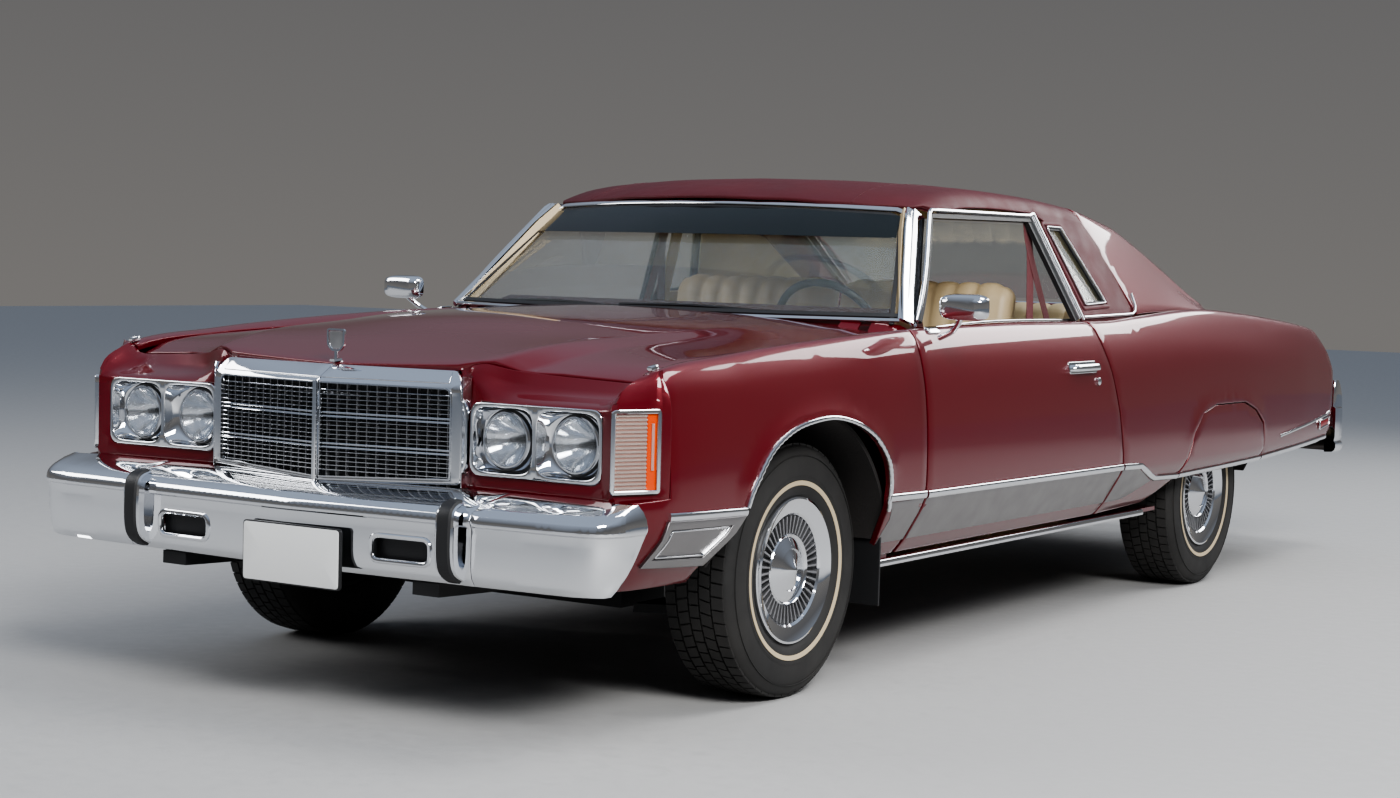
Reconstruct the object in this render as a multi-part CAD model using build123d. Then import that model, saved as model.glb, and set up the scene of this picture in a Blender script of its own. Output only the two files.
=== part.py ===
from build123d import *
import os
from math import atan2, cos, degrees, pi, radians, sin

# Full-size two-door hardtop car, millimetres. The pieces are drawn with s measured
# rearwards from the front axle, x to the car's left and z up from the ground, and are
# moved at the end so that the origin lies under the middle of the car.

# Driving dimensions of the whole car
WHEELBASE = 3150
FRONT_OVERHANG = 1100
REAR_OVERHANG = 1616
HALF_WIDTH = 1012
FRONT_TRACK = 1626
REAR_TRACK = 1600
ROOF_TOP = 1496
BELT_Z = 1045
SEAM = 0.3            # fixed pieces that sit against each other
DOOR_GAP = 8          # round doors and lids
RUNNING = 0.3         # pins and spindles in their bores

# Sheet and wall thicknesses
PANEL = 22
FLANGE = 4
DOOR_WALL = 130
QUARTER_WALL = 40
ROOF_WALL = 35
GLASS = 6
FLOOR = 14
SHELL = 14

# Wheels and tyres
TYRE_RADIUS = 360
TYRE_WIDTH = 230
TYRE_SIDES = 60
BEAD_RADIUS = 192
RIM_WIDTH = 196
SPINDLE_RADIUS = 24
HUB_RADIUS = 62
KINGPIN_INSET = 58
BRAKE_RADIUS = 112
WHEEL_CENTRE_Z = TYRE_RADIUS

# Wheel openings
FRONT_ARCH_RADIUS = 440
FRONT_ARCH_S = -12
FRONT_ARCH_Z = 352
REAR_HOUSE_RADIUS = 405
HOUSE_INNER_X = 505
REAR_HOUSE_INNER_X = 640
HOUSE_OUTER_X = 975

# Where the side panels end, along the car
CAP_S = -745
DOOR_FRONT_S = 606
DOOR_REAR_S = 2098
DOOR_REAR_TOP_S = 1935
QUARTER_END_S = 4620
SILL_Z = 345
SILL_BOTTOM_Z = 314
VALANCE_Z = 380
VALANCE_FRONT_S = -880
TIP_LOW_Z = 545
CABIN_FLOOR_X = 758
BULKHEAD_S = 2990

# Door hinges: a pin inside the door's thickness, held by an arm that reaches inboard of
# the door's front edge, so that the door can swing out round it
HINGE_X = 965
HINGE_S = 655
HINGE_PIN_RADIUS = 9
HINGE_HEIGHTS = (600, 860)
POCKET_HEIGHT = 60
POCKET_ROOM = 24
ARM_HEIGHT = 30
ARM_HALF_WIDTH = 12
ARM_LEG_INNER_X = 873
ARM_LEG_OUTER_X = 895
FENDER_THIN_S = 520
PILLAR_REAR_S = 592
PILLAR_INNER_X = 800
PILLAR_OUTER_X = 888

# Lids
HOOD_SKIN = 20
HOOD_HINGE_S = 640
HOOD_HINGE_X = 768
HOOD_HINGE_Z = 985
DECK_FRONT_S = 3450
DECK_EDGE_X = 826
DECK_SKIN = 20
DECK_HINGE_S = DECK_FRONT_S - 7
DECK_HINGE_X = 600
DECK_HINGE_Z = 1045
DECK_PIN_RADIUS = 5

# Body side, one row a station: place, widest x, crown x and z, inner edge x and z
SIDE_COLUMNS = ("s", "wide", "crown_x", "crown_z", "inner_x", "inner_z")
SIDE_ROWS = (
    (-884, 952, 930, 846, 880, 846),
    (-745, 990, 942, 938, 892, 925),
    (-400, 1006, 944, 978, 889, 960),
    (0, HALF_WIDTH, 944, 1008, 879, 978),
    (598, HALF_WIDTH, 941, 1033, 868, 1005),
    (1250, HALF_WIDTH, 937, 1040, 868, 1040),
    (2106, HALF_WIDTH, 930, 1040, 866, 1040),
    (2440, HALF_WIDTH, 926, 1056, 862, 1050),
    (3000, HALF_WIDTH - 2, 915, 1078, 858, 1068),
    (3500, HALF_WIDTH - 8, 906, 1060, 846, 1050),
    (4050, HALF_WIDTH - 27, 898, 1023, 838, 1016),
    (4345, HALF_WIDTH - 46, 888, 998, 832, 992),
    (4620, HALF_WIDTH - 66, 872, 972, 826, 966),
)
# Side section below the crown, one row a corner: inset from the widest x, and z
SECTION_ROWS = ((12, 870), (0, 640), (9, 520), (77, 395), (117, SILL_Z))

# Glasshouse, one row a level: height and the corner places of its plan outline
GLASS_COLUMNS = (
    "z", "front_mid_s", "front_x", "front_s", "side_x", "side_front_s", "side_rear_s",
    "sail_x", "sail_s", "rear_x", "rear_s", "rear_mid_s",
)
GLASS_ROWS = (
    (BELT_Z, 440, 868, 700, 908, 770, 2430, 862, 3040, 770, 3290, 3380),
    (1398, 890, 690, 1062, 748, 1120, 2215, 716, 2400, 640, 2500, 2560),
    (1458, 960, 640, 1120, 690, 1190, 2160, 650, 2330, 590, 2400, 2450),
    (ROOF_TOP, 1120, 430, 1200, 450, 1290, 2000, 420, 2080, 380, 2120, 2150),
)


def side_prism(points, x_from, x_to):
    """Solid between two x planes whose outline is given by (s, z) corners."""
    line = Polyline(*[(x_from, s, z) for s, z in points], close=True)
    return extrude(make_face(line.edges()), amount=x_to - x_from, dir=(1, 0, 0))


def front_prism(points, s_from, s_to):
    """Solid between two s planes whose outline is given by (x, z) corners."""
    line = Polyline(*[(x, s_from, z) for x, z in points], close=True)
    return extrude(make_face(line.edges()), amount=s_to - s_from, dir=(0, 1, 0))


def plan_prism(points, z_from, z_to):
    """Solid between two heights whose outline is given by (x, s) corners."""
    line = Polyline(*[(x, s, z_from) for x, s in points], close=True)
    return extrude(make_face(line.edges()), amount=z_to - z_from, dir=(0, 0, 1))


def block(x_from, x_to, s_from, s_to, z_from, z_to):
    """Plain box between opposite corners."""
    middle = ((x_from + x_to) / 2, (s_from + s_to) / 2, (z_from + z_to) / 2)
    return Pos(*middle) * Box(x_to - x_from, s_to - s_from, z_to - z_from)


def x_cylinder(radius, x_from, x_to, s, z):
    """Cylinder lying across the car."""
    return Pos((x_from + x_to) / 2, s, z) * Rot(0, 90, 0) * Cylinder(radius, abs(x_to - x_from))


def z_cylinder(radius, x, s, z_from, z_to):
    """Upright cylinder."""
    return Pos(x, s, (z_from + z_to) / 2) * Cylinder(radius, z_to - z_from)


def rod(start, end, radius):
    """Round bar between two points."""
    path = Vector(*end) - Vector(*start)
    plane = Plane(origin=start, z_dir=path)
    return extrude(plane * Circle(radius), amount=path.length)


def right_of(shape):
    """The same piece on the car's other side."""
    return mirror(shape, about=Plane.YZ)


def both(shape):
    """A piece and its mirror image, kept as separate solids."""
    return Compound(children=solids_of(shape) + solids_of(right_of(shape)))


def solids_of(*shapes):
    """All solids of the given pieces in one list."""
    return [solid for shape in shapes for solid in shape.solids()]


def pack(*shapes):
    """Several pieces that share a node, kept as separate solids."""
    return Compound(children=solids_of(*shapes))


def side_station(s):
    """Row of the body side at a place, straight between the rows of the table."""
    rows = SIDE_ROWS
    for low, high in zip(rows, rows[1:]):
        if low[0] <= s <= high[0]:
            share = (s - low[0]) / (high[0] - low[0])
            values = [a + (b - a) * share for a, b in zip(low, high)]
            return dict(zip(SIDE_COLUMNS, values))
    raise ValueError("place outside the body side")


def side_face(s, wall, top_wall, whole_top):
    """Section of the side wall; a whole top runs as thick as the wall, without the inner lip."""
    row = side_station(s)
    outer = [(row["crown_x"], row["crown_z"])]
    outer += [(row["wide"] - inset, z) for inset, z in SECTION_ROWS]
    inner = [(x - wall, z) for x, z in reversed(outer[1:])]
    if whole_top:
        inner.append((row["crown_x"] - wall, row["crown_z"]))
    else:
        inner.append((row["crown_x"] - wall, row["crown_z"] - top_wall))
        inner.append((row["inner_x"], row["inner_z"] - top_wall))
        inner.append((row["inner_x"], row["inner_z"]))
    line = Polyline(*[(x, s, z) for x, z in outer + inner], close=True)
    return make_face(line.edges())


def side_shell(s_from, s_to, wall, top_wall=PANEL, whole_top=False):
    """Left side wall between two places, with the stations of the table between them."""
    places = [s_from] + [row[0] for row in SIDE_ROWS if s_from < row[0] < s_to] + [s_to]
    faces = [side_face(s, wall, top_wall, whole_top) for s in places]
    return loft(faces, ruled=True)


def inside_side(wall):
    """Everything inboard of the side's inner surface, for trimming what sits against it."""
    faces = []
    for row in SIDE_ROWS:
        values = dict(zip(SIDE_COLUMNS, row))
        corners = [(values["wide"] - inset - wall, z) for inset, z in SECTION_ROWS]
        corners = [(values["crown_x"] - wall, values["crown_z"] - wall)] + corners
        corners = [(0, corners[0][1])] + corners + [(0, SILL_Z)]
        line = Polyline(*[(x, row[0], z) for x, z in corners], close=True)
        faces.append(make_face(line.edges()))
    return loft(faces, ruled=True)


def arch_cut():
    """Tool for the front wheel opening, open at the bottom."""
    round_part = x_cylinder(FRONT_ARCH_RADIUS, 800, 1100, FRONT_ARCH_S, FRONT_ARCH_Z)
    foot = side_prism(((-405, 561), (-545, 400), (-545, 200), (452, 200), (452, 352),
                       (380, 533)), 800, 1100)
    return round_part + foot


# Doors

DOOR_OUTLINE = (
    (DOOR_FRONT_S, 1100), (DOOR_REAR_TOP_S, 1100), (DOOR_REAR_TOP_S, 1040), (1985, 900),
    (2050, 720), (DOOR_REAR_S, 540), (DOOR_REAR_S, SILL_Z), (DOOR_FRONT_S + 14, SILL_Z),
    (DOOR_FRONT_S + 6, 520),
)


def door():
    """Left door up to the belt, with pockets for its hinge arms and bores for their pins."""
    slab = side_shell(DOOR_FRONT_S - 4, DOOR_REAR_S + 4, DOOR_WALL, whole_top=True)
    body = slab & side_prism(DOOR_OUTLINE, 700, 1100)
    for z in HINGE_HEIGHTS:
        body -= block(ARM_LEG_INNER_X - 7, HINGE_X + POCKET_ROOM, DOOR_FRONT_S - 10,
                      HINGE_S + POCKET_ROOM, z - POCKET_HEIGHT / 2, z + POCKET_HEIGHT / 2)
        body -= z_cylinder(HINGE_PIN_RADIUS + RUNNING, HINGE_X, HINGE_S,
                           z - POCKET_HEIGHT / 2 - 22, z + POCKET_HEIGHT / 2 + 22)
    pillar_foot = block(700, 884, DOOR_FRONT_S - 10, 760, 892, 1100)
    return body - pillar_foot


def door_fittings():
    """Pull handle, lock and mirror of the left door."""
    handle = block(1004, 1022, 1655, 1850, 872, 902) + block(985, 1008, 1675, 1700, 876, 898)
    handle += block(985, 1008, 1805, 1830, 876, 898)
    lock = x_cylinder(13, 996, 1012, 1868, 836)
    head = block(1003, 1157, 640, 690, 1056, 1136)
    head = fillet(head.edges().filter_by(Axis.Y), 22)
    head = head + rod((1046, 664, 1066), (968, 716, 1026), 12)
    foot = block(930, 992, 690, 765, 1010, 1026)
    return handle, lock, head + foot


def hinge_pillar():
    """Left front door post with its two hinge arms and pins."""
    post = block(PILLAR_INNER_X, PILLAR_OUTER_X, FENDER_THIN_S + SEAM, PILLAR_REAR_S,
                 SILL_Z - 7 + SEAM, 960)
    root_s = PILLAR_REAR_S - 22
    outer_x = HINGE_X + ARM_HALF_WIDTH
    rear_s, front_s = HINGE_S + ARM_HALF_WIDTH, HINGE_S - ARM_HALF_WIDTH
    for z in HINGE_HEIGHTS:
        arm = plan_prism(((outer_x, rear_s), (ARM_LEG_INNER_X, rear_s), (ARM_LEG_INNER_X, root_s),
                          (ARM_LEG_OUTER_X, root_s), (ARM_LEG_OUTER_X, front_s),
                          (outer_x, front_s)), z - ARM_HEIGHT / 2, z + ARM_HEIGHT / 2)
        post += arm
        post += z_cylinder(HINGE_PIN_RADIUS, HINGE_X, HINGE_S,
                           z - POCKET_HEIGHT / 2 - 20, z + POCKET_HEIGHT / 2 + 20)
    return post


# Side panels

def valance_face(s):
    """Section of the fender's low front part, below the nose."""
    wide = side_station(s)["wide"]
    outer = [(wide - 7, TIP_LOW_Z - SEAM), (wide - 9, 520), (wide - 77, 395),
             (wide - 89, VALANCE_Z)]
    inner = [(x - PANEL, z) for x, z in reversed(outer)]
    line = Polyline(*[(x, s, z) for x, z in outer + inner], close=True)
    return make_face(line.edges())


def fender():
    """Left front fender with its open wheel arch, a thin rear edge and a low front valance."""
    front = side_shell(CAP_S, FENDER_THIN_S, PANEL)
    rear = side_shell(FENDER_THIN_S, 598, FLANGE)
    valance = loft([valance_face(VALANCE_FRONT_S), valance_face(CAP_S)], ruled=True)
    valance &= side_prism(((CAP_S, 600), (VALANCE_FRONT_S + 22, 600), (VALANCE_FRONT_S, 480),
                           (VALANCE_FRONT_S, 300), (CAP_S, 300)), 700, 1100)
    low_front = block(700, 1100, CAP_S - 5, -500, 300, VALANCE_Z)
    return (front + rear) - arch_cut() - low_front + valance


QUARTER_OUTLINE = (
    (DOOR_REAR_TOP_S + DOOR_GAP, 1100), (4345, 1100), (4345, 1000), (4500, 917), (4585, 815),
    (4560, 700), (4530, 520), (3582, 475), (3582, 440), (2693, 440), (2500, 360),
    (DOOR_REAR_S + DOOR_GAP, SILL_Z), (DOOR_REAR_S + DOOR_GAP, 540), (2058, 723),
    (1993, 903), (DOOR_REAR_TOP_S + DOOR_GAP, 1040),
)
SKIRT_OUTLINE = ((2693, 457), (2767, 613), (2850, 687), (2977, 712), (3296, 710), (3426, 676),
                 (3524, 618), (3577, 486), (3582, 475))


def skirt_cut(margin):
    """Tool with the outline of the rear wheel skirt, grown by a margin and open below."""
    middle_s, middle_z = 3140, 560
    grown = [(s + (margin if s > middle_s else -margin), z + (margin if z > middle_z else 0))
             for s, z in SKIRT_OUTLINE]
    grown = [(grown[0][0], 300)] + grown + [(grown[-1][0], 300)]
    return side_prism(grown, 800, 1100)


def quarter():
    """Left rear quarter with the thick wall beside the rear seat."""
    wall = side_shell(DOOR_REAR_TOP_S, QUARTER_END_S, QUARTER_WALL)
    post = side_shell(DOOR_REAR_TOP_S, 2440, DOOR_WALL, whole_top=True)
    panel = (wall + post) & side_prism(QUARTER_OUTLINE, 600, 1100)
    return panel - skirt_cut(SEAM)


def skirt():
    """Left skirt over the rear wheel opening."""
    shell = side_shell(2600, 3650, PANEL)
    return shell & side_prism(SKIRT_OUTLINE, 800, 1100)


def rocker():
    """Left sill under the door, standing inboard of the door's lower edge."""
    return side_prism(((500, SILL_BOTTOM_Z), (2690, SILL_BOTTOM_Z + 10), (2690, SILL_Z - 7),
                       (500, SILL_Z - 7)), 735, 892)


# Glasshouse

def glass_outline(row, inset, drop):
    """Closed plan outline of one level, pulled inwards and down."""
    v = dict(zip(GLASS_COLUMNS, row))
    z = v["z"] - drop
    fx, fs = v["front_x"] - inset, v["front_s"] + inset
    rx, rs = v["rear_x"] - inset, v["rear_s"] - inset
    side = v["side_x"] - inset
    right = [(side, v["side_front_s"]), (side, v["side_rear_s"]), (v["sail_x"] - inset, v["sail_s"])]
    chain = [(fx, fs)] + right + [(rx, rs)]
    front = ThreePointArc((-fx, fs, z), (0, v["front_mid_s"] + inset, z), (fx, fs, z))
    rear = ThreePointArc((rx, rs, z), (0, v["rear_mid_s"] - inset, z), (-rx, rs, z))
    left_side = Polyline(*[(x, s, z) for x, s in chain])
    right_side = Polyline(*[(-x, s, z) for x, s in reversed(chain)])
    return make_face(front.edges() + left_side.edges() + rear.edges() + right_side.edges())


def glasshouse(inset=0, drop=0):
    """Solid form of the glasshouse; its inside is the same form, inset and lowered."""
    faces = [glass_outline(row, inset, drop if index else 0)
             for index, row in enumerate(GLASS_ROWS)]
    form = loft(faces[0:2], ruled=True) + loft(faces[1:3], ruled=True)
    return form + loft(faces[2:4], ruled=True)


WINDSHIELD_OUTLINE = ((-826, 1062), (826, 1062), (654, 1384), (0, 1412), (-654, 1384))
REAR_WINDOW_OUTLINE = ((-690, 1092), (690, 1092), (566, 1376), (0, 1388), (-566, 1376))
DOOR_WINDOW_OUTLINE = ((735, BELT_Z - 5), (1058, 1384), (1796, 1388), (1910, BELT_Z - 5))
OPERA_OUTLINE = ((2003, 1095), (1918, 1358), (2028, 1357), (2179, 1102))


def roof():
    """Roof with its pillars, open at the windshield, doors, quarter and rear windows."""
    shell = glasshouse() - glasshouse(ROOF_WALL, ROOF_WALL)
    shell -= front_prism(WINDSHIELD_OUTLINE, 300, 1110)
    shell -= front_prism(REAR_WINDOW_OUTLINE, 2452, 3500)
    for outline in (DOOR_WINDOW_OUTLINE, OPERA_OUTLINE):
        shell -= side_prism(outline, -1000, 1000)
    return shell


def glass_between(window):
    """Pane cut to a window from a thin skin inside the glasshouse's surface."""
    skin = glasshouse(8, 8) - glasshouse(8 + GLASS, 8 + GLASS)
    return skin & window


def cabin_floor_line(offset):
    """Side line of the floor from the toe board to the tail, at an offset."""
    line = ((484, 700), (500, 560), (640, 352), (2480, 352), (2640, 480), (2720, 640),
            (3560, 640), (3620, 520), (4500, 520))
    return [(s, z + offset) for s, z in line]


# Front end

def hood_rear_s(x):
    """Rear edge of the hood, an arc in plan."""
    return 402 + 246 * (x / 868) ** 2


# Hood section, one row a station: the middle, the ridge beside the raised centre part, the
# foot of the slope below that ridge, and the edge beside the fender
HOOD_COLUMNS = ("s", "middle_z", "ridge_x", "ridge_z", "foot_x", "foot_z", "edge_x", "edge_z")
HOOD_ROWS = (
    (-900, 915, 440, 925, 520, 890, 886, 880),
    (-830, 934, 454, 955, 530, 912, 885, 888),
    (-745, 952, 480, 968, 560, 928, 884, 899),
    (-640, 974, 500, 981, 590, 950, 882, 936),
    (-500, 1000, 530, 992, 622, 972, 880, 953),
    (-268, 1039, 562, 1004, 650, 990, 876, 964),
    (100, 1056, 620, 1026, 694, 1012, 871, 980),
    (660, 1078, 700, 1030, 770, 1022, 860, 1005),
)
HOOD_FRONT = ((-884, -731), (-660, -757), (-452, -834), (-405, -862), (0, -890), (405, -862),
              (452, -834), (660, -757), (884, -731))


def hood_face(row):
    """Section of the hood at one station."""
    v = dict(zip(HOOD_COLUMNS, row))
    right = [(v[name + "_x"], v[name + "_z"]) for name in ("ridge", "foot", "edge")]
    top = [(-x, z) for x, z in reversed(right)] + [(0, v["middle_z"])] + right
    low = [(x, z - HOOD_SKIN) for x, z in reversed(top)]
    line = Polyline(*[(x, v["s"], z) for x, z in top + low], close=True)
    return make_face(line.edges())


def hood_plan(front_gap, rear_gap):
    """Plan tool for the hood, with arcs as short straight runs at its rear edge."""
    steps = [-860, -650, -430, -215, 0, 215, 430, 650, 860]
    rear = [(x, hood_rear_s(x) + rear_gap) for x in reversed(steps)]
    front = [(x, s - front_gap) for x, s in HOOD_FRONT]
    return plan_prism(front + rear, 700, 1200)


def hood():
    """Hood panel with its two hinge lugs and their cross pins."""
    panel = loft([hood_face(row) for row in HOOD_ROWS], ruled=True) & hood_plan(0, 0)
    for side in (-1, 1):
        x = side * HOOD_HINGE_X
        lug = side_prism(((520, 960), (520, 1002), (600, 1002), (HOOD_HINGE_S + 14, 990),
                          (HOOD_HINGE_S + 14, 972), (HOOD_HINGE_S - 14, 972)), x - 8, x + 8)
        panel += lug
        panel += x_cylinder(HINGE_PIN_RADIUS, x - 28, x + 28, HOOD_HINGE_S, HOOD_HINGE_Z)
    return panel


def cowl():
    """Firewall, plenum under the hood's rear edge and the riser below the windshield."""
    half = PILLAR_INNER_X - SEAM
    wall = block(-half, half, 470, 484, 700, 950)
    plenum = plan_prism(((-half, 470), (half, 470), (half, 751), (-half, 751)), 930, 950)
    riser_points = [(x * half, 452 + 218 * x ** 2) for x in (-1, -0.75, -0.5, -0.25, 0,
                                                             0.25, 0.5, 0.75, 1)]
    back = [(x, s + 40) for x, s in reversed(riser_points)]
    riser = plan_prism(riser_points + back, 950, BELT_Z)
    brackets = []
    for side in (-1, 1):
        for offset in (-22, 22):
            x = side * HOOD_HINGE_X + offset
            ear = side_prism(((627, 950), (627, 1000), (680, 1000), (680, 950)), x - 6, x + 6)
            hole = x_cylinder(HINGE_PIN_RADIUS + RUNNING, x - 10, x + 10, HOOD_HINGE_S,
                              HOOD_HINGE_Z)
            brackets.append(ear - hole)
    body = wall + plenum + riser
    for side in (-1, 1):
        notch = block(side * HOOD_HINGE_X - 60, side * HOOD_HINGE_X + 60, 500, 700, 950.5, 1030)
        body -= notch
    for ear in brackets:
        body += ear
    return body


NOSE_PLAN = ((-990, CAP_S - SEAM), (-958, -790), (-906, -884), (-865, -869), (-440, -862),
             (440, -862), (865, -869), (906, -884), (958, -790), (990, CAP_S - SEAM))
LAMP_INNER_X = 451
LAMP_OUTER_X = 866
LAMP_LOW_Z = 650
LAMP_HIGH_Z = 838
LAMP_S = -868
LAMP_CENTRES_X = (545, 765)
LAMP_CENTRE_Z = 743
LENS_RADIUS = 71
GRILLE_HALF = 436
GRILLE_LOW_Z = 606
GRILLE_TOP_Z = 917
GRILLE_TIP_S = -958
GRILLE_SIDE_S = -892
CORNER_LAMP_PLAN = ((906, -886), (962, -757), (930, -750), (880, -870))


def header_panel():
    """Painted nose round the lamps, from fender to fender."""
    middle = side_prism(((-900, 600), (-866, 640), (-866, 846), (-766, 902), (CAP_S - SEAM, 905),
                         (CAP_S - SEAM, 560), (-830, 560)), -885, 885)
    tips = [side_prism(((-900, TIP_LOW_Z), (-900, 842), (-800, 912), (CAP_S - SEAM, 936),
                        (CAP_S - SEAM, TIP_LOW_Z)), *sorted((side * 885, side * 990)))
            for side in (-1, 1)]
    nose = (middle + tips[0] + tips[1]) & plan_prism(NOSE_PLAN, TIP_LOW_Z, 940)
    nose -= block(-GRILLE_HALF - SEAM, GRILLE_HALF + SEAM, -1000, -700,
                  GRILLE_LOW_Z - SEAM, 1000)
    nose -= hood_plan(6, 0)
    for side in (-1, 1):
        low, high = sorted((side * LAMP_INNER_X, side * LAMP_OUTER_X))
        nose -= block(low, high, -900, -800, LAMP_LOW_Z, LAMP_HIGH_Z)
        nose -= plan_prism([(side * x, s) for x, s in CORNER_LAMP_PLAN], 636, 839)
    hollow = block(-880, 880, -838, -700, 640, 846)
    return nose - hollow


def headlamp_bezel():
    """Left bright surround with its two round openings."""
    plate = block(LAMP_INNER_X, LAMP_OUTER_X, LAMP_S - 8, LAMP_S + 22, LAMP_LOW_Z, LAMP_HIGH_Z)
    for x in LAMP_CENTRES_X:
        plate -= Pos(x, LAMP_S + 7, LAMP_CENTRE_Z) * Rot(90, 0, 0) * Cylinder(LENS_RADIUS, 60)
    return plate


def headlamps():
    """Two round lamps with domed lenses, set in the bezel's openings."""
    lamps = []
    for x in LAMP_CENTRES_X:
        can = Pos(x, LAMP_S + 22, LAMP_CENTRE_Z) * Rot(90, 0, 0)
        lens = can * Cylinder(LENS_RADIUS - SEAM, 40)
        lens += Pos(x, LAMP_S + 60, LAMP_CENTRE_Z) * Rot(90, 0, 0) * Cylinder(40, 40)
        lamps.append(lens)
    return pack(*lamps)


def corner_lamp():
    """Left wrap-round lamp at the fender tip."""
    return plan_prism(CORNER_LAMP_PLAN, 636 + SEAM, 839 - SEAM)


def grille():
    """Bright surround in a shallow V, with the bar mesh behind its front edge."""
    lean = degrees(atan2(GRILLE_SIDE_S - GRILLE_TIP_S, GRILLE_HALF))
    reach = GRILLE_HALF / cos(radians(lean))
    rim = front_prism(((0, GRILLE_LOW_Z), (reach + 12, GRILLE_LOW_Z + 16),
                       (reach - 24, GRILLE_TOP_Z), (0, GRILLE_TOP_Z)), 0, 60)
    opening = front_prism(((8, GRILLE_LOW_Z + 12), (reach - 30, GRILLE_LOW_Z + 26),
                           (reach - 52, GRILLE_TOP_Z - 30), (8, GRILLE_TOP_Z - 30)), -10, 70)
    rim -= opening
    bars = []
    pitch = 19
    count = int((GRILLE_TOP_Z - GRILLE_LOW_Z - 40) / pitch)
    for index in range(1, count + 1):
        z = GRILLE_LOW_Z + 12 + index * pitch
        tall = 7 if index % 5 == 0 else 4
        bars.append(block(4, reach - 28, 12, 26, z - tall / 2, z + tall / 2))
    for index in range(1, 20):
        x = index * reach / 20
        bars.append(block(x - 1.5, x + 1.5, 16, 26, GRILLE_LOW_Z + 4, GRILLE_TOP_Z - 20))
    mesh = bars[0]
    for bar in bars[1:]:
        mesh += bar
    half = rim + (mesh & front_prism(((4, GRILLE_LOW_Z + 6), (reach - 20, GRILLE_LOW_Z + 20),
                                      (reach - 42, GRILLE_TOP_Z - 20), (4, GRILLE_TOP_Z - 20)),
                                     0, 60))
    half = Pos(0, GRILLE_TIP_S, 0) * Rot(0, 0, lean) * half
    half = half & block(0, GRILLE_HALF, -1000, -800, 500, 1000)
    return half + right_of(half) - hood_plan(6, 0)


# Bumpers, one row a level: height, front inset, end place and end x
BUMPER_COLUMNS = ("z", "inset", "end_s", "end_x")
FRONT_BUMPER_ROWS = (
    (612, 150, -880, 990),
    (580, 30, -864, 1006),
    (540, 0, -862, 1008),
    (470, 8, -913, 1004),
    (425, 8, -950, 994),
    (385, 18, -975, 976),
)
BUMPER_TIP_S = -1085
BUMPER_WALL = 46


def bumper_points(row, inner=0):
    """Plan corners of one bumper level, from the left end round to the right end."""
    v = dict(zip(BUMPER_COLUMNS, row))
    d = v["inset"] + inner
    x = v["end_x"] - inner
    shoulder_s = min(-968 + 0.4 * d, v["end_s"] - 16)
    half = [(x, v["end_s"]), (x - 8, shoulder_s), (x - 42, -1028 + 0.75 * d),
            (880, -1046 + d), (500, -1062 + d)]
    middle = [(0, BUMPER_TIP_S + d)]
    return half + middle + [(-x, s) for x, s in reversed(half)]


def front_bumper():
    """Bright front bumper with a shallow V, two slots and its back hollowed."""
    faces = []
    for row in FRONT_BUMPER_ROWS:
        points = bumper_points(row)
        line = Polyline(*[(x, s, row[0]) for x, s in points], close=True)
        faces.append(make_face(line.edges()))
    form = loft(faces, ruled=True)
    inner = plan_prism(bumper_points(FRONT_BUMPER_ROWS[2], BUMPER_WALL), 300, 574)
    form -= inner
    back = ((-930, -892), (-446, -892), (-446, -902), (0, -968), (446, -902), (446, -892),
            (930, -892), (930, -800), (-930, -800))
    form -= plan_prism(back, 560, 640)
    for side in (-1, 1):
        low, high = sorted((side * 290, side * 470))
        form -= block(low, high, -1150, -950, 436, 492)
    return form


def bumper_guards():
    """Upright guards with rubber faces on the front bumper."""
    outline = ((-1100, 560), (-1080, 590), (-1030, 596), (-1030, 560), (-1052, 545),
               (-1052, 470), (-1040, 420), (-1060, 402), (-1096, 440))
    return both(side_prism(outline, 522, 572))


def number_plates():
    """Blank plates on dark holders, front and rear."""
    front = block(-124, 206, -1098, -1092, 348, 500) + block(-110, 192, -1093, -1045, 388, 480)
    rear = block(-165, 165, REAR_END_S + SEAM, REAR_END_S + 6, 480, 630)
    return front, rear


# Rear end

REAR_END_S = WHEELBASE + REAR_OVERHANG - 6


def deck_lid():
    """Deck lid with its rear drop, hinge lugs and pins."""
    faces = []
    for s in (DECK_FRONT_S, 3500, 4050, 4345, 4480):
        row = side_station(s)
        edge, middle = row["inner_z"] - 4, row["inner_z"]
        if s > 4400:
            edge, middle = 930, 934
        top = [(-DECK_EDGE_X, edge), (0, middle), (DECK_EDGE_X, edge)]
        low = [(x, z - DECK_SKIN) for x, z in reversed(top)]
        line = Polyline(*[(x, s, z) for x, z in top + low], close=True)
        faces.append(make_face(line.edges()))
    lid = loft(faces, ruled=True)
    drop = side_prism(((4455, 910), (4480, 940), (4565, 820), (4550, 730), (4528, 730),
                       (4535, 815)), -DECK_EDGE_X, DECK_EDGE_X)
    lid += drop
    for side in (-1, 1):
        x = side * DECK_HINGE_X
        lid += block(x - 14, x + 14, DECK_HINGE_S, DECK_FRONT_S + 4, DECK_HINGE_Z - 8,
                     DECK_HINGE_Z + DECK_PIN_RADIUS)
        lid += x_cylinder(DECK_PIN_RADIUS, x - 36, x + 36, DECK_HINGE_S, DECK_HINGE_Z)
    return lid


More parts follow.
